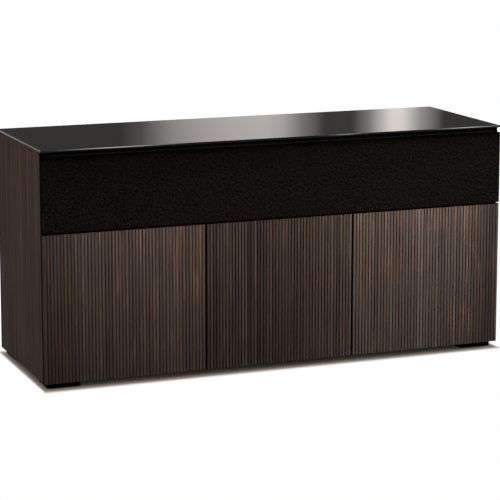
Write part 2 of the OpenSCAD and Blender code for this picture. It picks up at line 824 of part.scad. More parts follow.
module door_middle() {
    color([0.25, 0.2, 0.17]) difference() {
        translate([-middle_door_w / 2, front_y, case_z]) door_board(middle_door_w, middle_reeds);
        at_middle_hinges() cup_bore();
    }
}

module door_right() {
    color([0.25, 0.2, 0.17]) difference() {
        translate([divider_x + front_gap / 2, front_y, case_z]) door_board(outer_door_w, outer_reeds);
        at_right_hinges() cup_bore();
    }
}

module door_left_cups() { color([0.75, 0.75, 0.75]) at_left_hinges() hinge_cup(); }

module door_middle_cups() { color([0.75, 0.75, 0.75]) at_middle_hinges() hinge_cup(); }

module door_right_cups() { color([0.75, 0.75, 0.75]) at_right_hinges() hinge_cup(); }

module door_left_strike() { strike_plate(left_catch_x, deck_z); }

module door_middle_strike() { strike_plate(middle_catch_x, deck_z); }

module door_right_strike() { strike_plate(-left_catch_x, deck_z); }

// Magnetic catch hung under a board whose underside is at the height z.
module magnet_catch(x, z) {
    translate([x, catch_y, z - catch_h]) {
        translate([-catch_w / 2, 1, 0]) linear_extrude(catch_h)
            bevelled_rect(catch_w, catch_d - 1, 1.5);
        for (s = [-1, 1])
            translate([0, 1, catch_h / 2 + s * catch_pole_step / 2]) linear_extrude(catch_pole_t, center = true)
                translate([0, eps / 2]) square([strike_w, 2 + eps], center = true);
    }
}

module magnet_catches() {
    color([0.12, 0.12, 0.12]) {
        for (x = [left_catch_x, middle_catch_x, -left_catch_x]) magnet_catch(x, deck_z);
        for (x = [-flap_catch_x, flap_catch_x]) magnet_catch(x, top_board_z);
    }
}

// Clear bumpers on the front edges of the case, where the doors and the flap come to rest.
module door_bumpers() {
    free_x = divider_x + board_t / 2 - half_overlay / 2;
    near_x = divider_x - board_t / 2 + half_overlay / 2;
    flap_bumper_x = inner_x - bumper_inset;
    color([0.85, 0.85, 0.85]) {
        for (x = [-free_x, near_x, free_x], z = bumper_z)
            translate([x, case_y, z]) rotate([90, 0, 0]) cylinder(d = bumper_d, h = bumper_t);
        for (x = [-flap_bumper_x, flap_bumper_x])
            translate([x, case_y, (flap_top_z + top_board_z) / 2]) rotate([90, 0, 0])
                cylinder(d = bumper_d, h = bumper_t);
    }
}

// ---------------------------------------------------------------- flap

// Slab of the flap's outline, inset all round, standing upright between two depths.
module flap_slab(inset, from_v, to_v) {
    translate([0, front_y + to_v, flap_z + flap_h / 2]) rotate([90, 0, 0])
        linear_extrude(to_v - from_v)
            round_rect(flap_w - 2 * inset, flap_h - 2 * inset, flap_corner_r - inset);
}

// Grille frame: rails, stiles and slats left by a row of windows behind the cloth.
module flap_frame() {
    frame_w = flap_w - 2 * cloth_t;
    window_step = (frame_w - 2 * flap_stile_w + flap_slat_w) / flap_windows;
    window_w = window_step - flap_slat_w;
    window_h = flap_h - 2 * cloth_t - 2 * flap_rail_h;
    color([0.04, 0.04, 0.04]) difference() {
        flap_slab(cloth_t, cloth_t, door_t);
        for (i = [0 : flap_windows - 1])
            translate([(i - (flap_windows - 1) / 2) * window_step, front_y + door_t + 1, flap_z + flap_h / 2])
                rotate([90, 0, 0]) linear_extrude(door_t + 2)
                    round_rect(window_w, window_h, window_r);
        at_flap_hinges() cup_bore();
    }
}

// Cloth: a taut sheet over the face of the frame, turned back over its four edges.
module flap_cloth() {
    color([0.05, 0.045, 0.04]) difference() {
        flap_slab(0, 0, door_t - cloth_t);
        flap_slab(cloth_t, cloth_t, door_t);
    }
}

module flap_cups() { color([0.75, 0.75, 0.75]) at_flap_hinges() hinge_cup(); }

module flap_strikes() {
    for (x = [-flap_catch_x, flap_catch_x]) strike_plate(x, top_board_z);
}

// ---------------------------------------------------------------- nodes

side_left();
side_right();
bottom_board();
deck_board();
top_board();
divider_left();
divider_right();
back_panel_left();
back_panel_middle();
back_panel_right();
shelf_left();
shelf_middle();
shelf_right();
shelf_clips();
glass_top();
glass_pads();
foot_front_left();
foot_front_right();
foot_back_left();
foot_back_right();
foot_pads();
foot_screws();
hinge_plates();
hinge_arms();
magnet_catches();
door_bumpers();
cable_grommets();
back_panel_screws();
cam_locks();
cam_bolts();
divider_screws();
door_left();
door_left_cups();
door_left_strike();
door_middle();
door_middle_cups();
door_middle_strike();
door_right();
door_right_cups();
door_right_strike();
flap_frame();
flap_cloth();
flap_cups();
flap_strikes();
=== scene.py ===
"""Dresses the media cabinet and lights it.

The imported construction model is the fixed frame: its solids keep their shapes and get
their finishes here, the glass top and the flap cloth are made again in full detail, and
the small steel pieces that the solids leave out are added on the bodies that carry them.
"""

import logging
import math
import random
from dataclasses import dataclass, field
from enum import Enum
from typing import Any, Dict, List, Optional, Protocol, Sequence, Tuple, Union

import bmesh
import bpy
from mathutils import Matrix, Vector


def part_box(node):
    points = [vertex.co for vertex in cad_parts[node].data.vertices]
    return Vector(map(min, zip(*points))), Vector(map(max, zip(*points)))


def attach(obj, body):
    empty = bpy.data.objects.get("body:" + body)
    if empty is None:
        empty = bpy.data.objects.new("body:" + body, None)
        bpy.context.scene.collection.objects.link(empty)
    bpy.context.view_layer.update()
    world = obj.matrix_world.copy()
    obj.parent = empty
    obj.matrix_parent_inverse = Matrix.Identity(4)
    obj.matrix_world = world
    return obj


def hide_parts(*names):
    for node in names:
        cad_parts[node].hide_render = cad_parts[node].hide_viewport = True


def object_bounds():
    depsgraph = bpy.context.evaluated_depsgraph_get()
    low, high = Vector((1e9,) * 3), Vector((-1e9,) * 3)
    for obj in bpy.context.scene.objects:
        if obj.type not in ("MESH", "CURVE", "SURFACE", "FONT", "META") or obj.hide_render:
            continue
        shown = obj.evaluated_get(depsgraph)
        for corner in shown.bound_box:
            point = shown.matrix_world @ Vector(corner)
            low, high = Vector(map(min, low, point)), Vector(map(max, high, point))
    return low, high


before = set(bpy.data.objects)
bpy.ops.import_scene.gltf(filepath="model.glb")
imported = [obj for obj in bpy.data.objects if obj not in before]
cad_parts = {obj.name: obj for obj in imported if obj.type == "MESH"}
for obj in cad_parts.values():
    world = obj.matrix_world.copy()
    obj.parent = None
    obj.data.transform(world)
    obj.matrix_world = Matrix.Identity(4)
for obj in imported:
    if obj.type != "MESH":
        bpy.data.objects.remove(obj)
SOLIDS_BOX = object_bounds()
LOG = logging.getLogger("media_cabinet")
MM = 0.001
WELD = 0.001 * MM
RIGHT, BACK, UP = Vector((1, 0, 0)), Vector((0, 1, 0)), Vector((0, 0, 1))

Material = bpy.types.Material
Spot = Tuple[float, float]
Triple = Tuple[float, float, float]
Colour = Triple
Value = Union["Sock", float, int]
Stops = Sequence[Tuple[float, Union[float, Colour]]]
Box = Tuple[Vector, Vector]
Ring = List[Vector]


# ---------------------------------------------------------------- shader maths


class Sock:
    """An output socket of a finish, which takes part in arithmetic on values."""

    def __init__(self, sheet: "NodeSheet", socket: Optional[bpy.types.NodeSocket]) -> None:
        """Keeps the socket and the sheet that it lies on."""
        self.sheet = sheet
        self.socket = socket

    def maths(self, operation: str, *values: Value) -> "Sock":
        """One Math node.

        Args:
            operation: the node's operation, such as "ADD".
            values: its inputs in order, sockets or numbers.

        Returns:
            The node's result.
        """
        return self.sheet.node("ShaderNodeMath", {"operation": operation}, dict(enumerate(values)))

    def sibling(self, output: str) -> "Sock":
        """Another output of the same node."""
        return Sock(self.sheet, self.socket.node.outputs[output])

    def __add__(self, other: Value) -> "Sock":
        """The sum of two values."""
        return self.maths("ADD", self, other)

    __radd__ = __add__

    def __sub__(self, other: Value) -> "Sock":
        """This value less another."""
        return self.maths("SUBTRACT", self, other)

    def __rsub__(self, other: Value) -> "Sock":
        """Another value less this one."""
        return self.maths("SUBTRACT", other, self)

    def __mul__(self, other: Value) -> "Sock":
        """The product of two values."""
        return self.maths("MULTIPLY", self, other)

    __rmul__ = __mul__

    def __truediv__(self, other: Value) -> "Sock":
        """This value over another."""
        return self.maths("DIVIDE", self, other)

    def __rtruediv__(self, other: Value) -> "Sock":
        """Another value over this one."""
        return self.maths("DIVIDE", other, self)

    def __lt__(self, other: Value) -> "Sock":
        """1 where this value is the lower, and 0 elsewhere."""
        return self.maths("LESS_THAN", self, other)

    def __gt__(self, other: Value) -> "Sock":
        """1 where this value is the higher, and 0 elsewhere."""
        return self.maths("GREATER_THAN", self, other)

    def __abs__(self) -> "Sock":
        """The size of this value, without its sign."""
        return self.maths("ABSOLUTE", self)

    def floor(self) -> "Sock":
        """This value rounded down."""
        return self.maths("FLOOR", self)

    def sine(self) -> "Sock":
        """The sine of this value."""
        return self.maths("SINE", self)

    def about(self, middle: float, spread: float) -> "Sock":
        """A noise, which is about 0.5 on average, spread round a middle value."""
        return self * spread + (middle - spread / 2)

    def step(self, low: float, high: float) -> "Sock":
        """A smooth step of this value.

        Args:
            low: the value at which the step starts, at 0.
            high: the value at which it ends, at 1.

        Returns:
            The step, from 0 to 1.
        """
        return self.sheet.node(
            "ShaderNodeMapRange",
            {"interpolation_type": "SMOOTHSTEP"},
            {0: self, 1: low, 2: high, 3: 0.0, 4: 1.0},
        )


class NodeSheet:
    """The node tree of one material, or of the sky, on which a finish is drawn."""

    def __init__(self, owner: Union[str, bpy.types.World]) -> None:
        """Starts an empty tree.

        Args:
            owner: the name of a new material, or the sky that the tree is in.
        """
        self.owner = bpy.data.materials.new(owner) if isinstance(owner, str) else owner
        self.owner.use_nodes = True
        self.owner.node_tree.nodes.clear()
        self._point: Optional[Sock] = None

    def node(
        self, kind: str, settings: Dict[str, Any], inputs: Dict[Any, Any], output: Any = 0
    ) -> Sock:
        """Adds one node.

        Args:
            kind: the node's type.
            settings: its properties, which are set first; "stops" fills a colour ramp.
            inputs: the values or links of its sockets, by name or number.
            output: the output that is returned, by name or number.

        Returns:
            The chosen output, with no socket where the node has none.
        """
        made = self.owner.node_tree.nodes.new(kind)
        for key, value in settings.items():
            if key == "stops":
                self._fill_ramp(made.color_ramp, value)
            else:
                setattr(made, key, value)
        for key, value in inputs.items():
            socket = made.inputs[key]
            if isinstance(value, Sock):
                self.owner.node_tree.links.new(value.socket, socket)
            elif socket.type == "RGBA":
                socket.default_value = (*value, 1.0)
            else:
                socket.default_value = value
        return Sock(self, made.outputs[output] if len(made.outputs) else None)

    @staticmethod
    def _fill_ramp(ramp: bpy.types.ColorRamp, stops: Stops) -> None:
        """Gives a colour ramp its stops.

        Args:
            ramp: the ramp, as it comes with its node.
            stops: each stop's place, with its grey level or colour.
        """
        while len(ramp.elements) < len(stops):
            ramp.elements.new(1.0)
        for element, (place, colour) in zip(ramp.elements, stops):
            element.position = place
            rgb = (colour,) * 3 if isinstance(colour, (int, float)) else colour
            element.color = (*rgb, 1.0)

    def point(self) -> Sock:
        """The point on the piece, which is looked up once.

        Returns:
            Its place in the cabinet's own frame, in metres.
        """
        if self._point is None:
            self._point = self.node("ShaderNodeTexCoord", {}, {}, "Object")
        return self._point

    def along(self, axis: str) -> Sock:
        """The point's place along one axis, "X", "Y" or "Z"."""
        return self.node("ShaderNodeSeparateXYZ", {}, {0: self.point()}, axis)

    def noise(
        self,
        scale: Sequence[float],
        detail: float = 2.0,
        roughness: float = 0.5,
        lean: float = 0.0,
        at: Optional[Sock] = None,
    ) -> Sock:
        """Cloudy noise.

        Args:
            scale: lumps per metre along X, Y and Z.
            detail: how many finer octaves it has.
            roughness: how strong the finer octaves are.
            lean: how far it is turned about Y, in radians, before it is stretched.
            at: where it is read, if not at the point on the piece.

        Returns:
            Its value, about 0.5 on average.
        """
        stretched = self.node(
            "ShaderNodeMapping",
            {"vector_type": "TEXTURE"},
            {
                "Vector": at or self.point(),
                "Rotation": (0.0, lean, 0.0),
                "Scale": tuple(1.0 / size for size in scale),
            },
        )
        return self.node(
            "ShaderNodeTexNoise",
            {},
            {"Vector": stretched, "Scale": 1.0, "Detail": detail, "Roughness": roughness},
        )

    def ramp(self, value: Sock, stops: Stops, interpolation: str = "LINEAR") -> Sock:
        """A colour looked up by a value.

        Args:
            value: where to look, from 0 to 1.
            stops: the ramp's places and colours.
            interpolation: how it passes from stop to stop.

        Returns:
            The colour.
        """
        made = self.node("ShaderNodeValToRGB", {"stops": stops}, {0: value})
        made.socket.node.color_ramp.interpolation = interpolation
        return made

    def mix(self, share: Value, first: Any, second: Any, blend: str = "MIX") -> Sock:
        """A blend of two colours.

        Args:
            share: how much of the second, from 0 to 1.
            first: a colour or a colour socket.
            second: a colour or a colour socket.
            blend: the node's blend type.

        Returns:
            The blended colour.
        """
        return self.node(
            "ShaderNodeMix",
            {"data_type": "RGBA", "blend_type": blend},
            {0: share, 6: first, 7: second},
            2,
        )

    def bump(self, height: Sock, depth: float, strength: float = 1.0) -> Sock:
        """A bumped normal.

        Args:
            height: the relief, from 0 to 1.
            depth: its depth in metres.
            strength: the share of it that is used.

        Returns:
            The normal.
        """
        return self.node(
            "ShaderNodeBump", {}, {"Strength": strength, "Distance": depth, "Height": height}
        )

    def coat(self, inputs: Dict[str, Any]) -> Sock:
        """One Principled surface, with the sockets that differ from their defaults."""
        return self.node("ShaderNodeBsdfPrincipled", {}, inputs)

    def matt(self, colour: Any) -> Sock:
        """A surface without gloss."""
        return self.coat({"Base Color": colour, "Roughness": 1.0, "Specular IOR Level": 0.0})

    def lay(self, share: Sock, first: Sock, second: Sock) -> Sock:
        """A surface that turns from the first into the second by a share from 0 to 1."""
        return self.node("ShaderNodeMixShader", {}, {0: share, 1: first, 2: second})

    def paint(self, inputs: Dict[str, Any]) -> Material:
        """Ends the tree in one Principled surface.

        Args:
            inputs: the surface's sockets that differ from their defaults.

        Returns:
            The finished material.
        """
        return self.end(self.coat(inputs))

    def seen_directly(self) -> Sock:
        """1 for what the eye, a mirror or clear plastic sees, and 0 for scattered light."""
        eye = self.node("ShaderNodeLightPath", {}, {}, "Is Camera Ray")
        return (eye + eye.sibling("Is Glossy Ray") + eye.sibling("Is Transmission Ray")) > 0.5

    def end(self, surface: Sock, kind: str = "ShaderNodeOutputMaterial") -> Any:
        """Joins a surface to the output and returns the finished material or sky."""
        self.node(kind, {}, {"Surface": surface})
        return self.owner


# ---------------------------------------------------------------- finishes


class Finish(Protocol):
    """Anything that makes one finished material."""

    def material(self) -> Material:
        """The finished material."""


@dataclass(frozen=True)
class Layer:
    """Patches of noise: lumps per metre, where a patch starts and is full, and its octaves."""

    scale: Triple
    low: float
    high: float
    detail: float = 2.0
    roughness: float = 0.5
    lean: float = 0.0

    def on(self, sheet: NodeSheet, at: Optional[Sock] = None) -> Sock:
        """How full the patches are, from 0 to 1."""
        noise = sheet.noise(self.scale, self.detail, self.roughness, self.lean, at)
        return noise.step(self.low, self.high)


@dataclass(frozen=True)
class Veneer:
    """Dark striped veneer with upright grain, warm flecks and next to no gloss."""

    name: str
    ground: Colour = (0.1035, 0.0690, 0.0562)
    stripe: Colour = (0.0165, 0.0118, 0.0106)
    bands: Layer = Layer((150.0, 150.0, 1.3), 0.36, 0.66, 3.0, 0.6)
    lines: Layer = Layer((700.0, 700.0, 5.0), 0.30, 0.72, 2.0, 0.6)
    clouds: Layer = Layer((9.0, 9.0, 0.8), 0.30, 0.70)
    shares: Triple = (0.46, 0.42, 0.12)
    fleck: Colour = (0.170, 0.082, 0.048)
    flecks: Layer = Layer((640.0, 640.0, 5.0), 0.57, 0.67, 1.0)
    fleck_zones: Layer = Layer((60.0, 60.0, 4.5), 0.44, 0.60, 1.0)
    fleck_share: float = 0.6
    pores: Triple = (1500.0, 1500.0, 30.0)
    pore_share: float = 0.5
    pore_depth: float = 0.1 * MM
    # the black of banded edges; on the doors it is partly painted shade in the gaps between the
    # fronts
    band: Colour = (0.0015, 0.0013, 0.0012)
    band_depth: float = 0.5 * MM
    face: float = 0.0
    roughness: float = 0.50
    gloss: float = 0.0015
    sheen_tint: Colour = (1.0, 0.62, 0.44)

    def colour(self, sheet: NodeSheet) -> Sock:
        """The wood's colour: broad clouds, dark stripes, then short warm flecks.

        Args:
            sheet: where it is drawn.

        Returns:
            The colour.
        """
        layers = zip((self.bands, self.lines, self.clouds), self.shares)
        shade = sum(layer.on(sheet) * share for layer, share in layers)
        wood = sheet.mix(shade, self.stripe, self.ground)
        flecked = self.flecks.on(sheet) * self.fleck_zones.on(sheet) * self.fleck_share
        return sheet.mix(flecked, wood, self.fleck)

    def tinted(self, sheet: NodeSheet, wood: Sock) -> Sock:
        """The colour as the panel shows it; a plain panel adds nothing."""
        return wood

    def banded(self, sheet: NodeSheet) -> Sock:
        """1 on the edges that have a black band: a plain panel's front edge."""
        return sheet.along("Y") < self.face + self.band_depth

    def edging(self, sheet: NodeSheet, wood: Sock) -> Any:
        """The colour of those edges: black all over."""
        return self.band

    def material(self) -> Material:
        """Draws the veneer with its black edges.

        Returns:
            The finished material.
        """
        sheet = NodeSheet(self.name)
        pores = sheet.noise(self.pores, 2.0, 0.6)
        open_pores = pores.step(0.62, 0.70) * self.pore_share
        wood = sheet.mix(open_pores, self.colour(sheet), self.stripe)
        face = sheet.coat(
            {
                "Base Color": self.tinted(sheet, wood),
                "Roughness": pores.about(self.roughness, 0.16),
                "Specular IOR Level": self.gloss,
                "Specular Tint": self.sheen_tint,
                "Normal": sheet.bump(1.0 - pores.step(0.55, 0.75), self.pore_depth, 0.6),
            }
        )
        edge = sheet.matt(self.edging(sheet, wood))
        return sheet.end(sheet.lay(self.banded(sheet), face, edge))


@dataclass(frozen=True)
class Leaf:
    """One door's sheet of veneer, and the light and shade painted over the door.

    The lips are how deep the facing goes round the left and the right edge.
    """

    reeds: int
    ground: Colour
    # painted shade down in the grooves between the reeds
    groove_painted_shade: Colour
    # painted shade: the share of the colour at the door's foot, rising to 1 at its top
    foot_painted_shade: float
    spread: float
    # painted light and shade across the door's width
    across: Stops
    lips: Spot = (0.0, 0.0)


@dataclass(frozen=True, kw_only=True)
class ReededVeneer(Veneer):
    """A door's veneer: each reed is a strip of its own tone, with painted light and shade across
    the door, painted shade towards its foot and in the grooves.

    The shuffle times the door's place gives each door its own order of tones.
    """

    low: Vector
    high: Vector
    leaf: Leaf
    stripe: Colour = (0.0225, 0.0172, 0.0152)
    fleck: Colour = (0.180, 0.082, 0.040)
    flecks: Layer = Layer((640.0, 640.0, 5.0), 0.60, 0.70, 1.0)
    fleck_share: float = 0.9
    gloss: float = 0.09
    shuffle: float = 100.0
    reed_floor: float = 5.0 * MM
    groove: Spot = (0.4 * MM, 1.8 * MM)
    tones: Stops = (
        (0.00, (1.08, 1.03, 0.98)),
        (0.16, (0.82, 0.81, 0.80)),
        (0.32, (1.01, 1.02, 1.00)),
        (0.48, (1.20, 1.15, 1.10)),
        (0.62, (0.90, 0.92, 0.91)),
        (0.76, (1.03, 0.96, 0.91)),
        (0.90, (1.22, 1.22, 1.20)),
    )

    def tinted(self, sheet: NodeSheet, wood: Sock) -> Sock:
        """The colour times the tones of its reed, times painted light and shade across the door
        and painted shade towards its foot, with painted shade down in a groove.

        Args:
            sheet: where it is drawn.
            wood: the wood's own colour.

        Returns:
            The colour as the door shows it.
        """
        leaf, size = self.leaf, self.high - self.low
        place = (sheet.along("X") - self.low.x) / size.x
        rise = (sheet.along("Z") - self.low.z) / size.z
        reed = (place * leaf.reeds).floor() + self.shuffle * self.low.x
        pick = sheet.node("ShaderNodeTexWhiteNoise", {"noise_dimensions": "1D"}, {"W": reed})
        tones = [
            (share, tuple(1.0 + (level - 1.0) * leaf.spread for level in tone))
            for share, tone in self.tones
        ]
        reeded = wood
        # random reed tones, then painted light and shade across the door, then painted shade
        # towards its foot
        for shade in (
            sheet.ramp(pick, tones, "CONSTANT"),
            sheet.ramp(place, leaf.across),
            sheet.ramp(rise, ((0.0, leaf.foot_painted_shade), (1.0, 1.0))),
        ):
            reeded = sheet.mix(1.0, reeded, shade, "MULTIPLY")
        depth = sheet.along("Y")
        reeded = sheet.mix(depth < self.face + self.reed_floor, wood, reeded)
        # painted shade: how far down a groove the point lies, where the colour is darkened
        groove_shade_share = depth.step(*(self.face + level for level in self.groove))
        return sheet.mix(groove_shade_share, reeded, sheet.mix(1.0, reeded, leaf.groove_painted_shade, "MULTIPLY"))

    def banded(self, sheet: NodeSheet) -> Sock:
        """1 on a door's sides and its upper edge, which are black: partly an edge band, partly
        painted shade for the dark gaps between the fronts.
        """
        upper = sheet.along("Z") > self.high.z - self.band_depth
        return sum(self._sides(sheet), upper)

    def edging(self, sheet: NodeSheet, wood: Sock) -> Any:
        """The colour of the edges: black, partly edge band and partly painted shade of the gaps,
        but for the facing's lip on an outer side.

        Args:
            sheet: where it is drawn.
            wood: the wood's own colour.

        Returns:
            A colour or a colour socket.
        """
        depth = sheet.along("Y")
        lips = [
            side * (depth < self.face + lip)
            for side, lip in zip(self._sides(sheet), self.leaf.lips)
            if lip > 0.0
        ]
        return sheet.mix(sum(lips), self.band, wood) if lips else self.band

    def _sides(self, sheet: NodeSheet) -> List[Sock]:
        """1 on the door's left side, and 1 on its right side."""
        x, thin = sheet.along("X"), self.band_depth
        return [x < self.low.x + thin, x > self.high.x - thin]


@dataclass(frozen=True)
class Board:
    """Black faced or painted board with a fine pressed texture."""

    name: str
    ground: Colour = (0.0022, 0.0021, 0.0021)
    worn: Colour = (0.0048, 0.0045, 0.0044)
    roughness: float = 0.55
    gloss: float = 0.12
    grain: float = 900.0
    depth: float = 0.06 * MM
    scuffs: Layer = Layer((9.0, 9.0, 5.0), 0.35, 0.75, 4.0, 0.65)

    def material(self) -> Material:
        """Draws the board with its scuffs.

        Returns:
            The finished material.
        """
        sheet = NodeSheet(self.name)
        texture = sheet.noise((self.grain,) * 3, 2.0, 0.6)
        return sheet.paint(
            {
                "Base Color": sheet.mix(self.scuffs.on(sheet), self.ground, self.worn),
                "Roughness": texture.about(self.roughness, 0.14),
                "Specular IOR Level": self.gloss,
                "Normal": sheet.bump(texture, self.depth, 0.7),
            }
        )


@dataclass(frozen=True)
class Glass:
    """Polished black glass, painted behind, with the faintest film on its face."""

    name: str = "polished_black_glass"
    ground: Colour = (0.004,) * 3
    filmed: Colour = (0.0065,) * 3
    smears: Triple = (14.0, 22.0, 14.0)
    roughness: float = 0.02
    haze: float = 0.02
    index: float = 1.5

    def material(self) -> Material:
        """Draws the glass with its film.

        Returns:
            The finished material.
        """
        sheet = NodeSheet(self.name)
        film = sheet.noise(self.smears, 4.0, 0.6)
        return sheet.paint(
            {
                "Base Color": sheet.mix(film.step(0.55, 0.85), self.ground, self.filmed),
                "Roughness": film.step(0.45, 0.8) * self.haze + self.roughness,
                "IOR": self.index,
            }
        )


@dataclass(frozen=True)
class GlassArris:
    """The glass's polished arris, with the fine waves that the wheel leaves."""

    name: str = "polished_glass_arris"
    ground: Colour = (0.003,) * 3
    worn: Colour = (0.005,) * 3
    waves: Triple = (30.0, 30.0, 900.0)
    roughness: float = 0.07
    unevenness: float = 0.04
    index: float = 1.5

    def material(self) -> Material:
        """Draws the arris with its waves.

        Returns:
            The finished material.
        """
        sheet = NodeSheet(self.name)
        wheel = sheet.noise(self.waves)
        return sheet.paint(
            {
                "Base Color": sheet.mix(wheel.step(0.3, 0.7), self.ground, self.worn),
                "Roughness": wheel * self.unevenness + self.roughness,
                "IOR": self.index,
            }
        )


@dataclass(frozen=True)
class KnitCloth:
    """Near-black acoustic cloth: fine stitches of mixed yarn, mottled where it stretches; painted
    shade darkens its top.
    """

    name: str = "acoustic_cloth"
    stitch: float = 1.5 * MM
    foot: float = 0.0
    height: float = 1.0
    yarn: Colour = (0.0064, 0.0046, 0.0035)
    gap: Colour = (0.0, 0.0, 0.0)
    slubs: Layer = Layer((270.0, 270.0, 160.0), 0.42, 0.58, 0.0, 0.5, 0.7)
    mottle: Layer = Layer((20.0,) * 3, 0.3, 0.7)
    shares: Tuple[float, ...] = (0.78, 0.06, 0.08, 0.08)
    depth: float = 0.6 * MM
    # painted shade by height, from the foot up: darker towards the top and black at the upper
    # edge, under the glass
    up: Stops = ((0.0, 1.0), (0.55, 0.84), (0.90, 0.60), (0.96, 0.30), (1.0, 0.0))

    def material(self) -> Material:
        """Draws the cloth, stitch by stitch.

        Returns:
            The finished material.
        """
        sheet = NodeSheet(self.name)
        across, upward = sheet.along("X"), sheet.along("Z") + sheet.along("Y")
        flat = sheet.node("ShaderNodeCombineXYZ", {}, {0: across, 2: upward})
        snap, pitch = {"operation": "SNAP"}, (self.stitch,) * 3
        place = sheet.node("ShaderNodeVectorMath", snap, {0: flat, 1: pitch})
        turn = math.pi / self.stitch
        loops = abs((across * turn).sine()) * abs((upward * turn).sine())
        slubs = self.slubs.on(sheet, place)
        dyed = sheet.node("ShaderNodeTexWhiteNoise", {}, {0: place})
        layers = zip((slubs, dyed, loops, self.mottle.on(sheet)), self.shares)
        cover = sum(layer * share for layer, share in layers)
        # painted shade: darkens the cloth towards its top, where the glass overhangs it
        painted_shade_upward = sheet.ramp((sheet.along("Z") - self.foot) / self.height, self.up)
        knit = sheet.mix(1.0, sheet.mix(cover, self.gap, self.yarn), painted_shade_upward, "MULTIPLY")
        return sheet.paint(
            {
                "Base Color": knit,
                "Roughness": 0.98 - loops * 0.10,
                "Specular IOR Level": 0.01,
                "Normal": sheet.bump(slubs * 0.6 + loops * 0.4, self.depth),
            }
        )


@dataclass(frozen=True)
class Metal:
    """Plated or cast metal with fine wear."""

    name: str
    ground: Colour
    roughness: float = 0.28
    lay: Triple = (900.0, 900.0, 90.0)
    dulled: float = 0.72
    metallic: float = 1.0
    tarnish: Layer = Layer((60.0,) * 3, 0.4, 0.75, 3.0, 0.6)
    depth: float = 0.005 * MM

    def material(self) -> Material:
        """Draws the metal with its tarnish.

        Returns:
            The finished material.
        """
        sheet = NodeSheet(self.name)
        brushed = sheet.noise(self.lay, 2.0, 0.6)
        tarnish = self.tarnish.on(sheet)
        dull: Colour = tuple(level * self.dulled for level in self.ground)
        return sheet.paint(
            {
                "Base Color": sheet.mix(tarnish, self.ground, dull),
                "Metallic": self.metallic,
                "Roughness": brushed.about(self.roughness, 0.18) + tarnish * 0.06,
                "Normal": sheet.bump(brushed, self.depth, 0.4),
            }
        )


@dataclass(frozen=True)
class Moulded:
    """Plastic or rubber as it leaves the mould, with a light grain."""

    name: str
    ground: Colour
    roughness: float = 0.5
    gloss: float = 0.35
    see_through: float = 0.0
    pits: float = 1400.0
    dust: Layer = Layer((40.0,) * 3, 0.3, 0.75, 3.0)
    depth: float = 0.05 * MM

    def material(self) -> Material:
        """Draws the plastic with its grain.

        Returns:
            The finished material.
        """
        sheet = NodeSheet(self.name)
        grain = sheet.noise((self.pits,) * 3, 2.0, 0.6)
        dusty: Colour = tuple(level * 1.35 + 0.002 for level in self.ground)
        return sheet.paint(
            {
                "Base Color": sheet.mix(self.dust.on(sheet), self.ground, dusty),
                "Roughness": grain.about(self.roughness, 0.16),
                "Specular IOR Level": self.gloss,
                "Transmission Weight": self.see_through,
                "Normal": sheet.bump(grain, self.depth, 0.5),
            }
        )


# ---------------------------------------------------------------- mesh work


def added(name: str, data: bpy.types.ID) -> bpy.types.Object:
    """Puts a mesh, a lamp or a camera into the scene.

    Args:
        name: the new object's name.
        data: what it shows.

    Returns:
        The new object.
    """
    made = bpy.data.objects.new(name, data)
    bpy.context.scene.collection.objects.link(made)
    return made


def aim(thing: bpy.types.Object, place: Triple, target: Triple) -> None:
    """Moves a lamp or a camera to its place and turns it to its target.

    Args:
        thing: the lamp or the camera.
        place: where it is.
        target: what it looks at.
    """
    thing.location = place
    thing.rotation_mode = "QUATERNION"
    thing.rotation_quaternion = (Vector(target) - Vector(place)).to_track_quat("-Z", "Y")


def weld(mesh: bmesh.types.BMesh, reach: float = WELD) -> None:
    """Joins the points of a mesh that lie within reach of each other."""
    bmesh.ops.remove_doubles(mesh, verts=mesh.verts, dist=reach)


class Piece:
    """A new mesh that rides on one of the cabinet's bodies."""

    def __init__(self, name: str, body: str, slot: str, *finishes: Material) -> None:
        """Starts an empty mesh.

        Args:
            name: the piece's name.
            body: the body that it rides on.
            slot: the record's material slot that it belongs to; not used.
            finishes: its materials, in the order of its faces' material numbers.
        """
        self.name = name
        self.body = body
        self.slot = slot
        self.finishes = finishes
        self.mesh = bmesh.new()

    def loft(
        self, rings: Sequence[Ring], finish: int = 0, caps: Tuple[bool, bool] = (True, True)
    ) -> None:
        """Skins a row of closed rings that have as many points each.

        Args:
            rings: the rings from first to last; a ring turns anticlockwise seen from the last.
            finish: the faces' material number.
            caps: whether the first and the last ring are closed by a face.
        """
        rows = [[self.mesh.verts.new(point) for point in ring] for ring in rings]
        count = len(rows[0])
        faces = []
        for lower, upper in zip(rows, rows[1:]):
            for i in range(count):
                j = (i + 1) % count
                faces.append(self.mesh.faces.new((lower[i], lower[j], upper[j], upper[i])))
        if caps[0]:
            faces.append(self.mesh.faces.new(rows[0][::-1]))
        if caps[1]:
            faces.append(self.mesh.faces.new(rows[-1]))
        for face in faces:
            face.material_index = finish
            face.smooth = True

    def make(self, sharp_deg: float = 32.0) -> bpy.types.Object:
        """Turns the mesh into an object on its body.

        Args:
            sharp_deg: edges that turn by more than this stay crisp.

        Returns:
            The new object.
        """
        bmesh.ops.recalc_face_normals(self.mesh, faces=self.mesh.faces)
        data = bpy.data.meshes.new(self.name)
        self.mesh.to_mesh(data)
        self.mesh.free()
        for finish in self.finishes:
            data.materials.append(finish)
        data.set_sharp_from_angle(angle=math.radians(sharp_deg))
        made = added(self.name, data)
        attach(made, self.body)
        LOG.info("%s: %d faces on %s", self.name, len(data.polygons), self.body)
        return made


@dataclass(frozen=True)
class Axes:
    """A local frame: an origin and three directions at right angles."""

    origin: Vector
    right: Vector
    up: Vector
    out: Vector

    def at(self, u: float, v: float, w: float) -> Vector:
        """The point u to the right, v up and w outward of the origin."""
        return self.origin + self.right * u + self.up * v + self.out * w


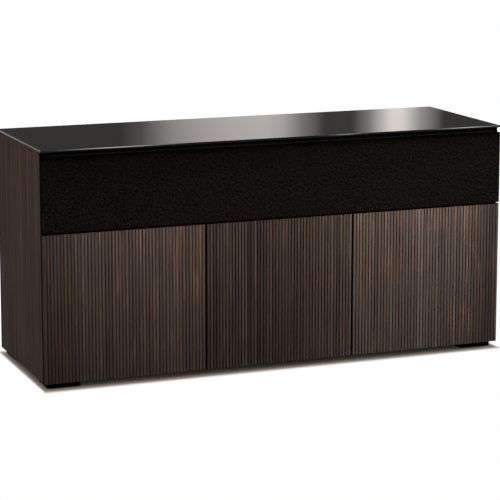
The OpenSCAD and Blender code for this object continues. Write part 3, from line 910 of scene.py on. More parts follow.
def rounded(width: float, height: float, radius: float, steps: int) -> List[Spot]:
    """The outline of a rectangle with rounded corners, centred on the origin.

    Args:
        width: its width.
        height: its height.
        radius: the radius of its corners.
        steps: how many edges each corner has.

    Returns:
        Its points, anticlockwise.
    """
    points = []
    for quarter, (sx, sy) in enumerate(((1, 1), (-1, 1), (-1, -1), (1, -1))):
        for step in range(steps + 1):
            turn = math.pi / 2 * (quarter + step / steps)
            points.append(
                (
                    sx * (width / 2 - radius) + radius * math.cos(turn),
                    sy * (height / 2 - radius) + radius * math.sin(turn),
                )
            )
    return points


def circle(radius: float, count: int) -> List[Spot]:
    """Points evenly round a circle about the origin, anticlockwise."""
    turns = (2 * math.pi * i / count for i in range(count))
    return [(radius * math.cos(turn), radius * math.sin(turn)) for turn in turns]


def span(low: Vector, high: Vector) -> Tuple[Vector, Vector]:
    """The middle and the size of the box between two corners."""
    return (low + high) / 2, high - low


def within(value: float, limit: float) -> float:
    """The value, held between a limit and its opposite."""
    return min(max(value, -limit), limit)


def solids(node: str) -> List[Box]:
    """The box of each separate solid of a node, in the order of their centres.

    Args:
        node: the name of the node.

    Returns:
        Its solids' lowest and highest corners.
    """
    mesh = bmesh.new()
    mesh.from_mesh(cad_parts[node].data)
    weld(mesh)
    boxes, seen = [], set()
    for start in mesh.verts:
        if start in seen:
            continue
        island, queue = [], [start]
        seen.add(start)
        while queue:
            vert = queue.pop()
            island.append(vert.co.copy())
            for edge in vert.link_edges:
                other = edge.other_vert(vert)
                if other not in seen:
                    seen.add(other)
                    queue.append(other)
        low = Vector(min(point[k] for point in island) for k in range(3))
        high = Vector(max(point[k] for point in island) for k in range(3))
        boxes.append((low, high))
    mesh.free()
    return sorted(boxes, key=lambda box: tuple(round(c, 4) for c in (box[0] + box[1]) / 2))


def dress(finish: Material, *nodes: str) -> None:
    """Gives one finish to every face of some of the frame's nodes.

    Args:
        finish: the finish.
        nodes: the nodes' names.
    """
    for node in nodes:
        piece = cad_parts[node]
        if not piece.data.materials:
            piece.data.materials.append(finish)
        for slot in piece.material_slots:
            slot.material = finish
        LOG.info("%s: %s", node, finish.name)


class Drive(Enum):
    """The recess in a screw's head: how wide and how long its arms are, per head width."""

    CROSS = (0.085, 0.30)
    BROAD_CROSS = (0.11, 0.34)


@dataclass(frozen=True)
class ScrewHead:
    """A domed screw head with a cross recess.

    The profile has each ring's radius per head width and its level per head height.
    """

    width: float = 7.0 * MM
    height: float = 1.6 * MM
    drive: Drive = Drive.CROSS
    recess: float = 1.0 * MM
    recess_floor: float = 0.8
    profile: Tuple[Spot, ...] = ((0.5, 0.0), (0.5, 0.35), (0.46, 0.62), (0.38, 0.86), (0.34, 0.93))
    most_twist: float = 1.5

    def add(self, piece: Piece, axes: Axes, rng: random.Random) -> None:
        """Adds one head, with its cross turned at random.

        Args:
            piece: the piece that takes it.
            axes: where it sits, with the head standing outward.
            rng: what the turn is drawn from.
        """
        outline = self._cross_outline(rng.uniform(0, self.most_twist))
        angles = [math.atan2(y, x) for x, y in outline]
        rings = []
        for share, level in self.profile:
            reach, rise = share * self.width, level * self.height
            rings.append([axes.at(reach * math.cos(a), reach * math.sin(a), rise) for a in angles])
        for share, rise in ((1.0, self.height), (self.recess_floor, self.height - self.recess)):
            rings.append([axes.at(x * share, y * share, rise) for x, y in outline])
        piece.loft(rings)

    def _cross_outline(self, twist: float) -> List[Spot]:
        """The recess as a twelve-sided cross.

        Args:
            twist: how far it is turned, in radians.

        Returns:
            Its points, anticlockwise.
        """
        half, reach = (share * self.width for share in self.drive.value)
        arm = ((reach, -half), (reach, half), (half, half))
        points = []
        for quarter in range(4):
            turn = twist + quarter * math.pi / 2
            c, s = math.cos(turn), math.sin(turn)
            points += [(x * c - y * s, x * s + y * c) for x, y in arm]
        return points


@dataclass(frozen=True)
class Staple:
    """A flat wire that bends down into the board at both ends; the wire has half sizes."""

    width: float = 10.0 * MM
    lift: float = 1.45 * MM
    foot: float = 0.3 * MM
    bend: float = 0.5 * MM
    wire: Spot = (0.6 * MM, 0.25 * MM)

    def add(self, piece: Piece, place: Vector, turn: float) -> None:
        """Adds one staple.

        Args:
            piece: the piece that takes it.
            place: the middle between its feet, on the back of the board.
            turn: how far it is turned from level, in radians.
        """
        along = Vector((math.cos(turn), 0.0, math.sin(turn)))
        across = Vector((-math.sin(turn), 0.0, math.cos(turn)))
        half, (wide, thick) = self.width / 2, self.wire
        path = [(-half, self.foot), (-half, self.lift - self.bend), (-half + self.bend, self.lift)]
        path += [(-u, v) for u, v in reversed(path)]
        rings = []
        for u, v in path:
            centre = place + along * u + BACK * v
            lean = BACK if abs(u) < half else along * math.copysign(1.0, u)
            rings.append(
                [
                    centre + across * sa * wide + lean * sb * thick
                    for sa, sb in ((-1, -1), (1, -1), (1, 1), (-1, 1))
                ]
            )
        piece.loft(rings)


# ---------------------------------------------------------------- the cabinet


def mixed(finish: Finish) -> Any:
    """A palette's entry, whose material is made together with the palette."""
    return field(default_factory=finish.material)


@dataclass
class Palette:
    """Every finish of the cabinet that more than one place may use, made once."""

    veneer: Material = mixed(Veneer("side_veneer", face=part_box("side_left")[0].y))
    case_board: Material = mixed(Board("case_board"))
    top_board: Material = mixed(
        Board("top_board_black", (0.0040,) * 3, (0.0055,) * 3, gloss=0.03)
    )
    back_board: Material = mixed(
        Board("back_board", (0.0045, 0.0043, 0.0042), (0.0085, 0.0080, 0.0078), 0.66, grain=500.0)
    )
    frame_board: Material = mixed(Board("frame_board", roughness=0.72, grain=320.0))
    foot_block: Material = mixed(
        Board("foot_block", (0.0014, 0.0013, 0.0013), (0.0022,) * 3, 0.6, 0.001, 260.0)
    )
    nickel: Material = mixed(Metal("nickel_steel", (0.62, 0.60, 0.57), 0.36))
    zinc_plate: Material = mixed(Metal("screw_steel", (0.55, 0.55, 0.53), 0.38))
    cast_zinc: Material = mixed(Metal("cast_zinc", (0.50, 0.50, 0.51), 0.45, (420.0,) * 3))
    black_oxide: Material = mixed(
        Metal("black_screw", (0.020, 0.020, 0.021), 0.42, dulled=1.8, metallic=0.6)
    )
    plastic: Material = mixed(Moulded("black_plastic", (0.012,) * 3, 0.48))
    rubber: Material = mixed(Moulded("foot_rubber", (0.004,) * 3, 0.9, gloss=0.002))
    clear_pad: Material = mixed(
        Moulded("clear_pad", (0.72, 0.72, 0.70), 0.25, gloss=0.5, see_through=0.7)
    )
    magnet: Material = mixed(Moulded("ferrite_magnet", (0.035, 0.034, 0.034), 0.6))


@dataclass
class GlassTop:
    """The black glass top: a polished slab with a flat arris all round.

    Its flat faces start with a band, whose inner edge lies a number of arrises inward.
    """

    arris: float = 2.4 * MM
    corner: float = 3.0 * MM
    corner_steps: int = 8
    least_radius: float = 0.3 * MM
    band: float = 3.0

    def build(self) -> bpy.types.Object:
        """Makes the slab in the place of the plain one, and dresses it.

        Returns:
            The slab.
        """
        low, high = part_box("glass_top")
        middle, size = span(low, high)
        edge = GlassArris().material()
        under = Board("painted_glass_underside", roughness=0.38).material()
        # the seamed side's own grey, made lighter as painted reflection for the sheen on the
        # glass's front face
        side = Board(
            "seamed_glass_side", (0.026,) * 3, (0.032,) * 3, 0.30, gloss=0.08, depth=0.01 * MM
        ).material()
        piece = Piece("glass_slab", "case", "black_glass", Glass().material(), edge, under, side)
        a, t, inner = self.arris, size.z, self.band * self.arris

        def ring(inset: float, height: float) -> Ring:
            """The slab's outline at one height.

            Args:
                inset: how far it is moved inward.
                height: how far it is above the slab's underside.

            Returns:
                Its points.
            """
            radius = max(self.corner - inset, self.least_radius)
            outline = rounded(size.x - 2 * inset, size.y - 2 * inset, radius, self.corner_steps)
            return [Vector((middle.x + x, middle.y + y, low.z + height)) for x, y in outline]

        for start, end, finish, caps in (
            ((inner, 0.0), (a, 0.0), 2, (True, False)),
            ((a, 0.0), (0.0, a), 3, (False, False)),
            ((0.0, a), (0.0, t - a), 3, (False, False)),
            ((0.0, t - a), (a, t), 1, (False, False)),
            ((a, t), (inner, t), 0, (False, True)),
        ):
            piece.loft([ring(*start), ring(*end)], finish, caps)
        weld(piece.mesh)
        made = piece.make(sharp_deg=20.0)
        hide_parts("glass_top")
        return made


@dataclass
class FlapCloth:
    """The cloth on the flap: one taut sheet, turned over the frame and stapled behind.

    The hem's rows are shares of its turned-in width. Staples stray by millimetres along
    their edge and tilt by radians, and their margins are what an edge leaves at its ends.
    """

    thickness: float = 0.8 * MM
    front_radius: float = 1.8 * MM
    front_steps: int = 4
    corner: float = 4.0 * MM
    corner_steps: int = 5
    turn_in: float = 12.0 * MM
    cup_turn_in: float = 2.2 * MM
    strike_turn_in: float = 6.4 * MM
    notch_half: float = 20.0 * MM
    notch_slope: float = 3.0 * MM
    hem_rows: Triple = (1.0, 0.5, 0.12)
    hem_lift: float = 0.85 * MM
    fold_lift: float = 0.55 * MM
    fold_inset: float = 0.12 * MM
    fold_depth: float = 0.6 * MM
    dip: float = 0.4 * MM
    windows: int = 12
    rail: float = 43.0 * MM
    stile: float = 47.0 * MM
    slat: float = 22.0 * MM
    step: float = 9.0 * MM
    weld_reach: float = 0.01 * MM
    staple: Staple = Staple()
    staple_pitch: float = 46.0 * MM
    staple_line: float = 0.55
    staple_margins: Spot = (60.0 * MM, 50.0 * MM)
    staple_stray: float = 3.0
    staple_tilt: float = 0.12

    def __post_init__(self) -> None:
        """Looks up the flap's place, and where its cups and strikes sit along it."""
        self.low, self.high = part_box("flap_cloth")
        self.middle, self.size = span(self.low, self.high)
        self.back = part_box("flap_frame")[1].y
        self.cups, self.strikes = (
            [(low.x + high.x) / 2 for low, high in solids(node)]
            for node in ("flap_cups", "flap_strikes")
        )

    def build(self, palette: Palette) -> None:
        """Makes the cloth and its staples, in the place of the plain shell.

        Args:
            palette: the cabinet's finishes.
        """
        cloth = self._sheet()
        self._staples(palette.zinc_plate)
        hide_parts("flap_cloth")

    def _notched(self, x: float, upper: bool) -> float:
        """How far the cloth is turned in behind the frame.

        Args:
            x: the place along the edge.
            upper: whether it is the upper edge, with the strikes, or the lower, with the cups.

        Returns:
            The turned-in width.
        """
        places = self.strikes if upper else self.cups
        least = self.strike_turn_in if upper else self.cup_turn_in
        near = min(abs(x - place) for place in places)
        share = min(1.0, max(0.0, (near - self.notch_half) / self.notch_slope))
        return least + (self.turn_in - least) * share

    def _outline(self) -> List[Triple]:
        """The flap's outline, with steps that divide each stretch of it evenly.

        Returns:
            Its points, anticlockwise: x and z from the middle, and the turned-in width.
        """
        half_w, half_h = self.size.x / 2, self.size.z / 2
        w, h = half_w - self.corner, half_h - self.corner
        stops = {w, -w}
        for place in self.cups + self.strikes:
            for reach in (self.notch_half, self.notch_half + self.notch_slope):
                stops |= {place - reach, place + reach}
        ordered = sorted(stops)
        xs: List[float] = []
        for start, end in zip(ordered, ordered[1:]):
            count = max(1, round((end - start) / self.step))
            xs += [start + (end - start) * i / count for i in range(count)]
        xs.append(ordered[-1])
        rows = max(1, round(2 * h / self.step))
        zs = [-h + 2 * h * i / rows for i in range(rows)] + [h]
        points: List[Triple] = []
        for side in (-1, 1):
            turn = side * math.pi / 2
            points += [(x, side * half_h, self._notched(x, side > 0)) for x in xs[::-side]]
            points += self._corner_points(-side * w, side * h, turn)
            points += [(-side * half_w, z, self.turn_in) for z in zs[::-side]]
            points += self._corner_points(-side * w, -side * h, turn + math.pi / 2)
        return points

    def _corner_points(self, x: float, z: float, start: float) -> List[Triple]:
        """The outline's points round one corner.

        Args:
            x: the place of the corner's centre, from the middle.
            z: its height, from the middle.
            start: the direction in which the corner starts, in radians.

        Returns:
            The points between the corner's ends.
        """
        r, steps = self.corner, self.corner_steps
        turns = [start + math.pi / 2 * i / steps for i in range(1, steps)]
        return [(x + r * math.cos(turn), z + r * math.sin(turn), self.turn_in) for turn in turns]

    def _inward(self, x: float, z: float, inset: float) -> Spot:
        """Moves a point of the outline inward.

        Args:
            x: its place, from the middle.
            z: its height, from the middle.
            inset: how far it moves.

        Returns:
            Its new place and height, from the middle.
        """
        r = self.corner
        w, h = self.size.x / 2 - r, self.size.z / 2 - r
        core = Vector((within(x, w), within(z, h)))
        if inset > r:
            return (within(core.x, w - (inset - r)), within(core.y, h - (inset - r)))
        offset = (Vector((x, z)) - core) * ((r - inset) / r)
        return (core.x + offset.x, core.y + offset.y)

    def _sheet(self) -> bpy.types.Object:
        """Makes the cloth itself, with the depth of its weave as thickness.

        Returns:
            The cloth.
        """
        middle, front, back, r = self.middle, self.low.y, self.back, self.front_radius
        outline = self._outline()
        knit = KnitCloth(foot=self.low.z, height=self.size.z)
        piece = Piece("flap_cloth_sheet", "flap_body", "acoustic_cloth", knit.material())

        def ring(y: float, inset: float, share: float = 0.0) -> Ring:
            """The outline at one depth, moved in by an inset and a share of its hem."""
            moved = (self._inward(x, z, inset + share * hem) for x, z, hem in outline)
            return [Vector((middle.x + x, y, middle.z + z)) for x, z in moved]

        rings = [ring(back + self.hem_lift, 0.0, share) for share in self.hem_rows]
        rings += [ring(back + self.fold_lift, self.fold_inset), ring(back - self.fold_depth, 0.0)]
        arc = [math.pi / 2 * i / self.front_steps for i in range(self.front_steps + 1)]
        rings += [ring(front + r * (1 - math.sin(a)), r * (1 - math.cos(a))) for a in arc]
        rings += [ring(front, r + share * self.step) for share in (0.5, 1.0)]
        piece.loft(rings, 0, (False, False))
        self._face(piece, rings[-1])
        weld(piece.mesh, self.weld_reach)
        made = piece.make(sharp_deg=180.0)
        skin = made.modifiers.new("weave", "SOLIDIFY")
        skin.thickness, skin.offset, skin.use_even_offset = self.thickness, -1.0, True
        with bpy.context.temp_override(object=made, active_object=made, selected_objects=[made]):
            bpy.ops.object.modifier_apply(modifier=skin.name)
        return made

    def _face(self, piece: Piece, rim: Ring) -> None:
        """Fills the front of the cloth with a grid.

        Args:
            piece: the cloth.
            rim: its last ring, which the grid lies in.
        """
        xs, zs = (sorted({round(point[axis], 6) for point in rim}) for axis in (0, 2))
        rows = [
            [piece.mesh.verts.new((x, self.low.y + self._dip(x, z), z)) for x in xs] for z in zs
        ]
        for lower, upper in zip(rows, rows[1:]):
            for i in range(len(xs) - 1):
                face = piece.mesh.faces.new((lower[i], lower[i + 1], upper[i + 1], upper[i]))
                face.smooth = True

    def _dip(self, x: float, z: float) -> float:
        """How far the taut cloth lies back over the frame's windows.

        Args:
            x: the place on its front.
            z: the height on its front.

        Returns:
            The depth there, which is 0 on the frame's bars.
        """
        step = (self.size.x - 2 * self.stile + self.slat) / self.windows
        place = (x - self.middle.x + self.windows * step / 2) / step
        u = (place - math.floor(place) - 0.5) * 2 * step / (step - self.slat)
        v = (z - self.middle.z) * 2 / (self.size.z - 2 * self.rail)
        if abs(u) >= 1 or abs(v) >= 1 or not 0 <= place < self.windows:
            return 0.0
        return self.dip * (1 - u * u) * (1 - v * v)

    def _staples(self, steel: Material) -> None:
        """Makes a row of wire staples along each edge of the turned-in cloth.

        Args:
            steel: the staples' finish.
        """
        rng = random.Random(7)
        piece = Piece("cloth_staples", "flap_body", "screw_steel", steel)
        middle, back = self.middle, self.back
        inset = self.staple_line * self.turn_in
        half_w, half_h = self.size.x / 2 - inset, self.size.z / 2 - inset
        clear = self.notch_half + self.notch_slope + self.staple.width / 2
        stray, tilt = self.staple_stray, self.staple_tilt
        for side, places in ((-1, self.cups), (1, self.strikes)):
            for x in self._row(self.size.x - self.staple_margins[0]):
                x += rng.uniform(-stray, stray) * MM
                if min(abs(x - place) for place in places) > clear:
                    spot = Vector((x, back, middle.z + half_h * side))
                    self.staple.add(piece, spot, rng.uniform(-tilt, tilt))
        for side in (-1, 1):
            for z in self._row(self.size.z - self.staple_margins[1]):
                spot = Vector((side * half_w, back, middle.z + z))
                self.staple.add(piece, spot, math.pi / 2 + rng.uniform(-tilt, tilt))
        piece.make()

    def _row(self, length: float) -> List[float]:
        """The even places of the staples along a length, from its middle."""
        count = int(length / self.staple_pitch)
        return [(i / count - 0.5) * length for i in range(count + 1)]


@dataclass
class Hinges:
    """The small steel pieces of the concealed hinges: screws in cups, plates and arms.

    A plate's spots are places across it and back from its front; an arm's are places
    forward of its end. Hinges above the deck are the flap's.
    """

    wing_out: float = 24.0 * MM
    wing_in: float = 22.5 * MM
    deck: float = 510.0 * MM
    right_bay: float = 500.0 * MM
    arm_thickness: float = 2.0 * MM
    plate_spots: Tuple[Spot, ...] = ((9.5 * MM, 14.7 * MM), (-9.5 * MM, 14.7 * MM))
    arm_spots: Spot = (9.0 * MM, 29.0 * MM)
    plate_screw: ScrewHead = ScrewHead(6.6 * MM, 1.5 * MM)
    cup_screw: ScrewHead = ScrewHead(7.0 * MM, 1.5 * MM)
    arm_screw: ScrewHead = ScrewHead(6.4 * MM, 2.0 * MM, Drive.BROAD_CROSS, 1.3 * MM)

    def build(self, palette: Palette) -> None:
        """Adds the screws of every cup, plate and arm.

        Args:
            palette: the cabinet's finishes.
        """
        rng = random.Random(11)
        for front, inward, along in (
            ("door_left", RIGHT, UP),
            ("door_middle", RIGHT, UP),
            ("door_right", -RIGHT, UP),
            ("flap", UP, RIGHT),
        ):
            name = f"{front}_cups_screws"
            piece = Piece(name, f"{front}_body", "screw_steel", palette.zinc_plate)
            for low, high in solids(f"{front}_cups"):
                start = min(inward.dot(low), inward.dot(high))
                for sign in (-1, 1):
                    place = (low + high) / 2
                    place += inward * (start + self.wing_in - inward.dot(place))
                    place += along * (sign * self.wing_out)
                    place.y = high.y
                    self.cup_screw.add(piece, Axes(place, along, inward, BACK), rng)
            piece.make()
        self._plates(palette, rng)

    def _plates(self, palette: Palette, rng: random.Random) -> None:
        """Adds two screws to each mounting plate and two to each arm.

        Args:
            palette: the cabinet's finishes.
            rng: what the turns of their crosses are drawn from.
        """
        plates = Piece("hinge_plate_screws", "case", "screw_steel", palette.zinc_plate)
        arms = Piece("hinge_arm_screws", "case", "screw_steel", palette.nickel)
        for node, piece, head in (
            ("hinge_plates", plates, self.plate_screw),
            ("hinge_arms", arms, self.arm_screw),
        ):
            for low, high in solids(node):
                centre, size = span(low, high)
                out, side = (-RIGHT if centre.x > self.right_bay else RIGHT), UP
                if low.z > self.deck:
                    out, side = UP, RIGHT
                if piece is plates:
                    face = out * max(out.dot(low), out.dot(high))
                    spots = self.plate_spots
                else:
                    face = out * (min(out.dot(low), out.dot(high)) + self.arm_thickness)
                    spots = [(0.0, size.y - forward) for forward in self.arm_spots]
                for across, deep in spots:
                    place = centre + side * across
                    place.y = low.y + deep
                    place += out * (out.dot(face) - out.dot(place))
                    head.add(piece, Axes(place, side, BACK, out), rng)
        plates.make()
        arms.make()


@dataclass
class Catches:
    """Magnets in the catches, and the screws of catches and strike plates."""

    magnet: Triple = (30.0 * MM, 1.6 * MM, 3.2 * MM)
    magnet_sunk: float = 0.6 * MM
    magnet_edge: float = 0.3 * MM
    magnet_corner: float = 0.5 * MM
    least_housing: float = 6.0 * MM
    strike_screw: ScrewHead = ScrewHead(6.4 * MM, 1.2 * MM, Drive.CROSS, 0.8 * MM)
    strike_sunk: float = 0.5 * MM
    catch_screw: ScrewHead = ScrewHead(6.4 * MM, 1.5 * MM)
    screw_apart: float = 26.0 * MM
    screw_back: float = 2.0 * MM

    def build(self, palette: Palette) -> None:
        """Adds them to every catch and strike.

        Args:
            palette: the cabinet's finishes.
        """
        rng = random.Random(23)
        for front, strike in (
            ("door_left", "strike"),
            ("door_middle", "strike"),
            ("door_right", "strike"),
            ("flap", "strikes"),
        ):
            name = f"{front}_{strike}_screw"
            piece = Piece(name, f"{front}_body", "screw_steel", palette.zinc_plate)
            for low, high in solids(f"{front}_{strike}"):
                place = (low + high) / 2
                place.y = high.y - self.strike_sunk
                self.strike_screw.add(piece, Axes(place, RIGHT, UP, BACK), rng)
            piece.make()
        magnets = Piece("catch_magnets", "case", "black_plastic", palette.magnet)
        screws = Piece("catch_screws", "case", "screw_steel", palette.zinc_plate)
        for low, high in solids("magnet_catches"):
            if high.z - low.z < self.least_housing:
                continue
            centre = (low + high) / 2
            self._magnet(magnets, centre, low.y + self.magnet_sunk)
            for sign in (-1, 1):
                x, y = centre.x + sign * self.screw_apart / 2, centre.y + self.screw_back
                axes = Axes(Vector((x, y, low.z)), RIGHT, BACK, -UP)
                self.catch_screw.add(screws, axes, rng)
        magnets.make()
        screws.make()

    def _magnet(self, piece: Piece, centre: Vector, front: float) -> None:
        """Adds a catch's magnet, a bar with a softened front edge.

        Args:
            piece: the piece that takes it.
            centre: the middle of the catch.
            front: where the bar's front face is.
        """
        (wide, deep, tall), edge = self.magnet, self.magnet_edge
        rings = []
        for inset, y in ((edge, front), (0.0, front + edge), (0.0, front + deep)):
            size = (wide - 2 * inset, tall - 2 * inset)
            outline = rounded(*size, self.magnet_corner - inset, 3)
            rings.append([Vector((centre.x + x, y, centre.z + z)) for x, z in outline])
        piece.loft(rings)


@dataclass
class Case:
    """The case: side panels, boards, shelves, backs, feet and their fittings."""

    def build(self, palette: Palette) -> None:
        """Dresses the case's nodes.

        Args:
            palette: the cabinet's finishes.
        """
        dress(palette.veneer, "side_left", "side_right")
        dress(
            palette.case_board,
            "bottom_board", "deck_board", "divider_left", "divider_right",
            "shelf_left", "shelf_middle", "shelf_right",
        )
        dress(palette.top_board, "top_board")
        dress(palette.back_board, "back_panel_left", "back_panel_middle", "back_panel_right")
        dress(
            palette.foot_block,
            "foot_front_left", "foot_front_right", "foot_back_left", "foot_back_right",
        )
        dress(palette.rubber, "foot_pads")
        dress(palette.nickel, "shelf_clips", "hinge_plates", "hinge_arms", "cam_bolts")
        dress(palette.zinc_plate, "foot_screws", "divider_screws")
        dress(palette.plastic, "magnet_catches", "cable_grommets")
        dress(palette.clear_pad, "door_bumpers", "glass_pads")
        dress(palette.black_oxide, "back_panel_screws")
        dress(palette.cast_zinc, "cam_locks")


@dataclass
class Fronts:
    """The three reeded doors and the flap's frame, with their cups and strikes."""

    # each leaf's across stops are painted light and shade over the door's width; its groove and
    # foot numbers are painted shade
    leaves: Tuple[Leaf, Leaf, Leaf] = (
        Leaf(
            48, (0.0535, 0.0428, 0.0382), (0.62, 0.53, 0.48), 0.64, 0.75,
            ((0.0, 0.66), (0.3, 0.95), (0.5, 1.08), (0.7, 1.12), (1.0, 1.0)), (13.0 * MM, 0.0),
        ),
        Leaf(
            47, (0.0610, 0.0496, 0.0456), (0.34, 0.28, 0.25), 0.78, 1.6,
            ((0.0, 0.56), (0.25, 0.59), (0.5, 0.58), (0.75, 0.71), (1.0, 0.91)),
        ),
        Leaf(
            48, (0.0535, 0.0455, 0.0410), (0.38, 0.32, 0.29), 0.72, 1.0,
            ((0.0, 1.20), (0.25, 1.34), (0.5, 1.50), (0.75, 1.28), (1.0, 0.65)), (0.0, 13.0 * MM),
        ),
    )

    def build(self, palette: Palette) -> None:
        """Dresses the doors, each with its own reeds and its own sheet of veneer.

        Args:
            palette: the cabinet's finishes.
        """
        for side, leaf in zip(("left", "middle", "right"), self.leaves):
            door = f"door_{side}"
            low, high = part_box(door)
            finish = ReededVeneer(
                f"{door}_veneer", ground=leaf.ground, face=low.y, low=low, high=high, leaf=leaf
            )
            dress(finish.material(), door)
            dress(palette.nickel, f"{door}_cups", f"{door}_strike")
        dress(palette.frame_board, "flap_frame")
        dress(palette.nickel, "flap_cups", "flap_strikes")


# ---------------------------------------------------------------- the studio


class Seen(Enum):
    """The kinds of ray that see a stage piece."""

    BY_ALL = ("camera", "diffuse", "glossy", "shadow", "transmission", "volume_scatter")
    IN_GLOSS_ONLY = ("glossy",)

    def apply(self, piece: bpy.types.Object) -> None:
        """Shows a piece to these rays and hides it from the rest."""
        for kind in Seen.BY_ALL.value:
            setattr(piece, f"visible_{kind}", kind in self.value)


@dataclass(frozen=True)
class SoftBox:
    """A lamp with a wide soft face."""

    name: str
    place: Triple
    target: Triple
    size: Spot
    power: float
    tint: Colour = (1.0, 0.975, 0.945)

    def hang(self, spared: bpy.types.Collection) -> None:
        """Puts the lamp in the scene, unseen by the camera.

        Args:
            spared: what the lamp doesn't light.
        """
        light = bpy.data.lights.new(self.name, "AREA")
        light.shape = "RECTANGLE"
        light.size, light.size_y = self.size
        light.energy = self.power
        light.color = self.tint
        made = added(self.name, light)
        aim(made, self.place, self.target)
        made.visible_camera = False
        made.light_linking.receiver_collection = spared
        for member in spared.collection_objects:
            member.light_linking.link_state = "EXCLUDE"


@dataclass(frozen=True)
class Viewer:
    """The camera, at a standing viewer's height to the left of the cabinet."""

    place: Triple = (-2.5857, -6.5976, 1.7738)
    target: Triple = (-0.1098, -0.278, 0.6204)
    sensor: float = 36.0
    lens: float = 149.177
    shift: float = -0.12

    def stand(self) -> None:
        """Makes the scene's camera, which shows each colour as it is."""
        data = bpy.data.cameras.new("viewer")
        data.sensor_width, data.lens, data.shift_y = self.sensor, self.lens, self.shift
        bpy.context.scene.camera = added("viewer", data)
        aim(bpy.context.scene.camera, self.place, self.target)
        bpy.context.scene.view_settings.view_transform = "Standard"


def rectangle(across: Spot, along: Spot) -> List[Spot]:
    """The corners of the rectangle between two places on each of two axes."""
    (left, right), (low, high) = across, along
    return [(left, low), (left, high), (right, high), (right, low)]


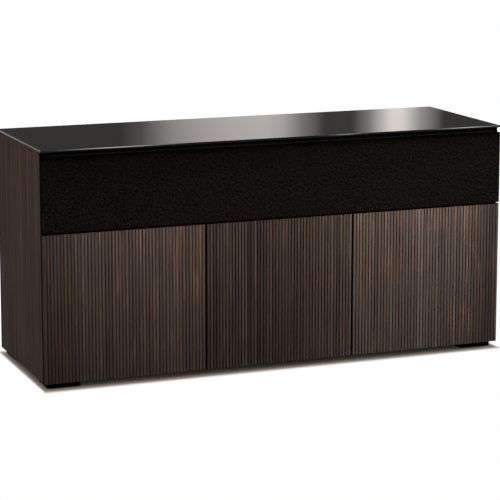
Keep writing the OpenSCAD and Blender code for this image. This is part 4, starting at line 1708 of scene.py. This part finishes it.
@dataclass
class Studio:
    """White floor, lamps, camera, and what only reflections see.

    That is a dark ring with two light banks, for the glass's face, a trough of tube lamps
    under its lid, for the front arris, and a white card behind, for the left arris. The
    banks' stops are degrees round from the back, and the tubes' are shares of the radius.
    Each of the floor's two fades to white starts inside the cabinet's box by its first number and
    is complete its second number further out; the fades paint the edge of the cabinet's shadow,
    with a warm painted tint.
    """

    floor: Spot = (-40.0, 40.0)
    floor_clouds: float = 0.6
    floor_tone: Colour = (0.96, 0.82, 0.70)
    floor_pale: Colour = (0.99, 0.87, 0.76)
    # warm tint painted into the edge of the cabinet's shadow on the floor
    floor_painted_shadow_tint: Colour = (0.96, 0.76, 0.64)
    fades: Tuple[Spot, ...] = ((0.044, 0.054), (0.120, 0.160))
    painted_shadow_fade: Stops = (
        (0.0, 0.004), (0.35, 0.008), (0.55, 0.02), (0.72, 0.08), (0.78, 0.17), (0.90, 0.87),
        (0.97, 1.0),
    )
    ring_radius: float = 5.0
    ring_foot: float = 0.25
    ring_top: float = 6.0
    ring_steps: int = 96
    lid_tone: Colour = (0.075, 0.070, 0.067)
    bank_span: float = 60.0
    bank_tint: Colour = (1.07, 0.99, 0.95)
    banks: Stops = (
        (12.6, 0.07), (14.2, 0.16), (16.2, 0.50), (18.0, 0.68), (20.2, 0.82), (22.4, 0.88),
        (23.6, 0.74), (24.8, 0.37), (26.4, 0.08), (28.3, 0.08), (29.4, 0.36), (30.9, 1.31),
        (31.6, 1.31), (32.8, 0.57), (34.4, 0.07),
    )
    trough: Tuple[Spot, Spot] = ((0.0, 4.5), (-1.6, -0.6))
    trough_height: float = 5.9
    trough_gain: float = 10.0
    card: Tuple[Spot, Spot] = ((-2.3, -0.9), (1.4, 3.0))
    card_depth: float = 4.2
    card_gain: float = 0.8
    tubes: Stops = (
        (0.05, 0.0), (0.085, 0.08), (0.11, 0.3), (0.135, 0.7), (0.16, 1.0), (0.18, 0.95),
        (0.205, 0.65), (0.23, 0.3), (0.255, 0.08), (0.28, 0.0), (0.505, 0.0), (0.517, 0.8),
        (0.533, 0.8), (0.545, 0.0), (0.665, 0.0), (0.69, 0.2), (0.708, 0.6), (0.722, 1.0),
        (0.742, 1.0), (0.76, 0.4), (0.79, 0.1),
    )
    sky: float = 0.36
    lamps: Tuple[SoftBox, ...] = (
        SoftBox("right_key", (1.1, -1.3, 1.6), (0.75, -0.28, 0.45), (0.8, 0.4), 40.0),
        SoftBox("right_near", (0.62, -1.15, 1.45), (0.55, -0.28, 0.45), (0.6, 0.4), 20.0),
        SoftBox("left_key", (-1.1, -1.3, 1.6), (-0.75, -0.28, 0.45), (0.8, 0.4), 20.0),
        SoftBox("left_near", (-0.50, -1.15, 1.45), (-0.45, -0.28, 0.45), (0.6, 0.4), 12.0),
        SoftBox("top_lamp", (0.2, -0.7, 3.4), (0.0, -0.1, 0.4), (3.0, 2.0), 20.0),
        SoftBox("side_lamp", (-4.5, -0.6, 1.9), (-0.83, 0.0, 0.4), (1.6, 1.6), 30.0),
    )
    viewer: Viewer = Viewer()

    def build(self, unlit: Sequence[bpy.types.Object]) -> None:
        """Makes the stage, the lamps and the camera.

        Args:
            unlit: the pieces that the lamps leave to the sky and the cards, with the floor.
        """
        self._world()
        spared = bpy.data.collections.new("lit_by_the_sky_alone")
        spared.objects.link(self._floor())
        for piece in unlit:
            spared.objects.link(piece)
        self._surround()
        self._trough()
        self._card()
        for lamp in self.lamps:
            lamp.hang(spared)
        self.viewer.stand()

    def _world(self) -> None:
        """A plain sky that is pure white to the camera and in reflections."""
        sheet = NodeSheet(bpy.data.worlds.new("studio_sky"))
        sides = [
            sheet.node("ShaderNodeBackground", {}, {"Color": (1.0, 1.0, 1.0), "Strength": level})
            for level in (self.sky, 1.0)
        ]
        sky = sheet.lay(sheet.seen_directly(), *sides)
        bpy.context.scene.world = sheet.end(sky, "ShaderNodeOutputWorld")

    def _floor(self) -> bpy.types.Object:
        """Makes a wide pale floor, white to the camera, that keeps the cabinet's shadow, whose
        edge and warm tint are painted by the fade into white.

        Returns:
            The floor.
        """
        sheet = NodeSheet("studio_floor")
        beyond = [
            (abs(sheet.along(axis)) - (level - inset)) / reach
            for axis, level, (inset, reach) in zip("XY", SOLIDS_BOX[1], self.fades)
        ]
        tone = sheet.noise((self.floor_clouds,) * 3)
        plain = sheet.matt(sheet.mix(tone, self.floor_tone, self.floor_pale))
        # painted shadow: near the cabinet the floor glows white only by this ramp, which draws the
        # shadow's edge
        painted_shadow_fade = sheet.ramp(beyond[0].maths("MAXIMUM", *beyond), self.painted_shadow_fade)
        white = self._glow(sheet, sheet.mix(painted_shadow_fade, self.floor_painted_shadow_tint, (1.0, 1.0, 1.0)))
        surface = sheet.lay(painted_shadow_fade * sheet.seen_directly(), plain, white)
        corners = [(x, y, 0.0) for y, x in rectangle(self.floor, self.floor)]
        return self._stage(surface, corners, seen=Seen.BY_ALL)

    @staticmethod
    def _glow(sheet: NodeSheet, colour: Any, gain: float = 1.0) -> Sock:
        """A surface that only shines, by its colour times a gain."""
        black = {"Base Color": (0.0, 0.0, 0.0), "Specular IOR Level": 0.0}
        return sheet.coat({**black, "Emission Color": colour, "Emission Strength": gain})

    def _surround(self) -> None:
        """A dark ring that only reflections see, with two soft light banks behind."""
        sheet = NodeSheet("studio_surround")
        turn = sheet.along("X").maths("ARCTAN2", sheet.along("X"), sheet.along("Y"))
        share = turn * (180.0 / math.pi / self.bank_span)
        stops = [
            (angle / self.bank_span, tuple(level * tint for tint in self.bank_tint))
            for angle, level in self.banks
        ]
        lid = sheet.along("Z") > self.ring_top - MM
        card = self._glow(sheet, sheet.mix(lid, sheet.ramp(share, stops), self.lid_tone))
        count = self.ring_steps
        outline = circle(self.ring_radius, count)
        points = [(x, y, z) for z in (self.ring_foot, self.ring_top) for x, y in outline]
        pairs = [(i, (i + 1) % count) for i in range(count)]
        faces = [(i, j, count + j, count + i) for i, j in pairs] + [tuple(range(count, 2 * count))]
        self._stage(card, points, faces)

    def _trough(self) -> None:
        """A short ceiling trough of tube lamps, which the glass's front arris picks up."""
        sheet = NodeSheet("studio_trough")
        lit = sheet.ramp(sheet.along("X") / self.ring_radius, self.tubes)
        corners = [(x, y, self.trough_height) for x, y in rectangle(*self.trough)]
        self._stage(self._glow(sheet, lit, self.trough_gain), corners)

    def _card(self) -> None:
        """A white card behind the cabinet, which the glass's left arris picks up."""
        card = self._glow(NodeSheet("studio_card"), self.bank_tint, self.card_gain)
        self._stage(card, [(x, self.card_depth, z) for x, z in rectangle(*self.card)])

    def _stage(
        self,
        surface: Sock,
        points: Sequence[Triple],
        faces: Sequence[Tuple[int, ...]] = ((0, 1, 2, 3),),
        seen: Seen = Seen.IN_GLOSS_ONLY,
    ) -> bpy.types.Object:
        """Makes a stage piece, with the name of its material.

        Args:
            surface: what it looks like.
            points: its corners.
            faces: its faces, as numbers of corners.
            seen: which rays see it.

        Returns:
            The piece.
        """
        finish = surface.sheet.end(surface)
        data = bpy.data.meshes.new(finish.name)
        data.from_pydata(points, [], faces)
        data.materials.append(finish)
        made = added(finish.name, data)
        seen.apply(made)
        LOG.info("stage: %s", finish.name)
        return made


def main() -> None:
    """Builds the studio and every sub-assembly in order."""
    logging.basicConfig(level=logging.INFO, format="%(name)s: %(message)s")
    palette = Palette()
    Case().build(palette)
    Fronts().build(palette)
    glass = GlassTop().build()
    FlapCloth().build(palette)
    Hinges().build(palette)
    Catches().build(palette)
    Studio().build([glass])


if __name__ == "__main__":
    main()
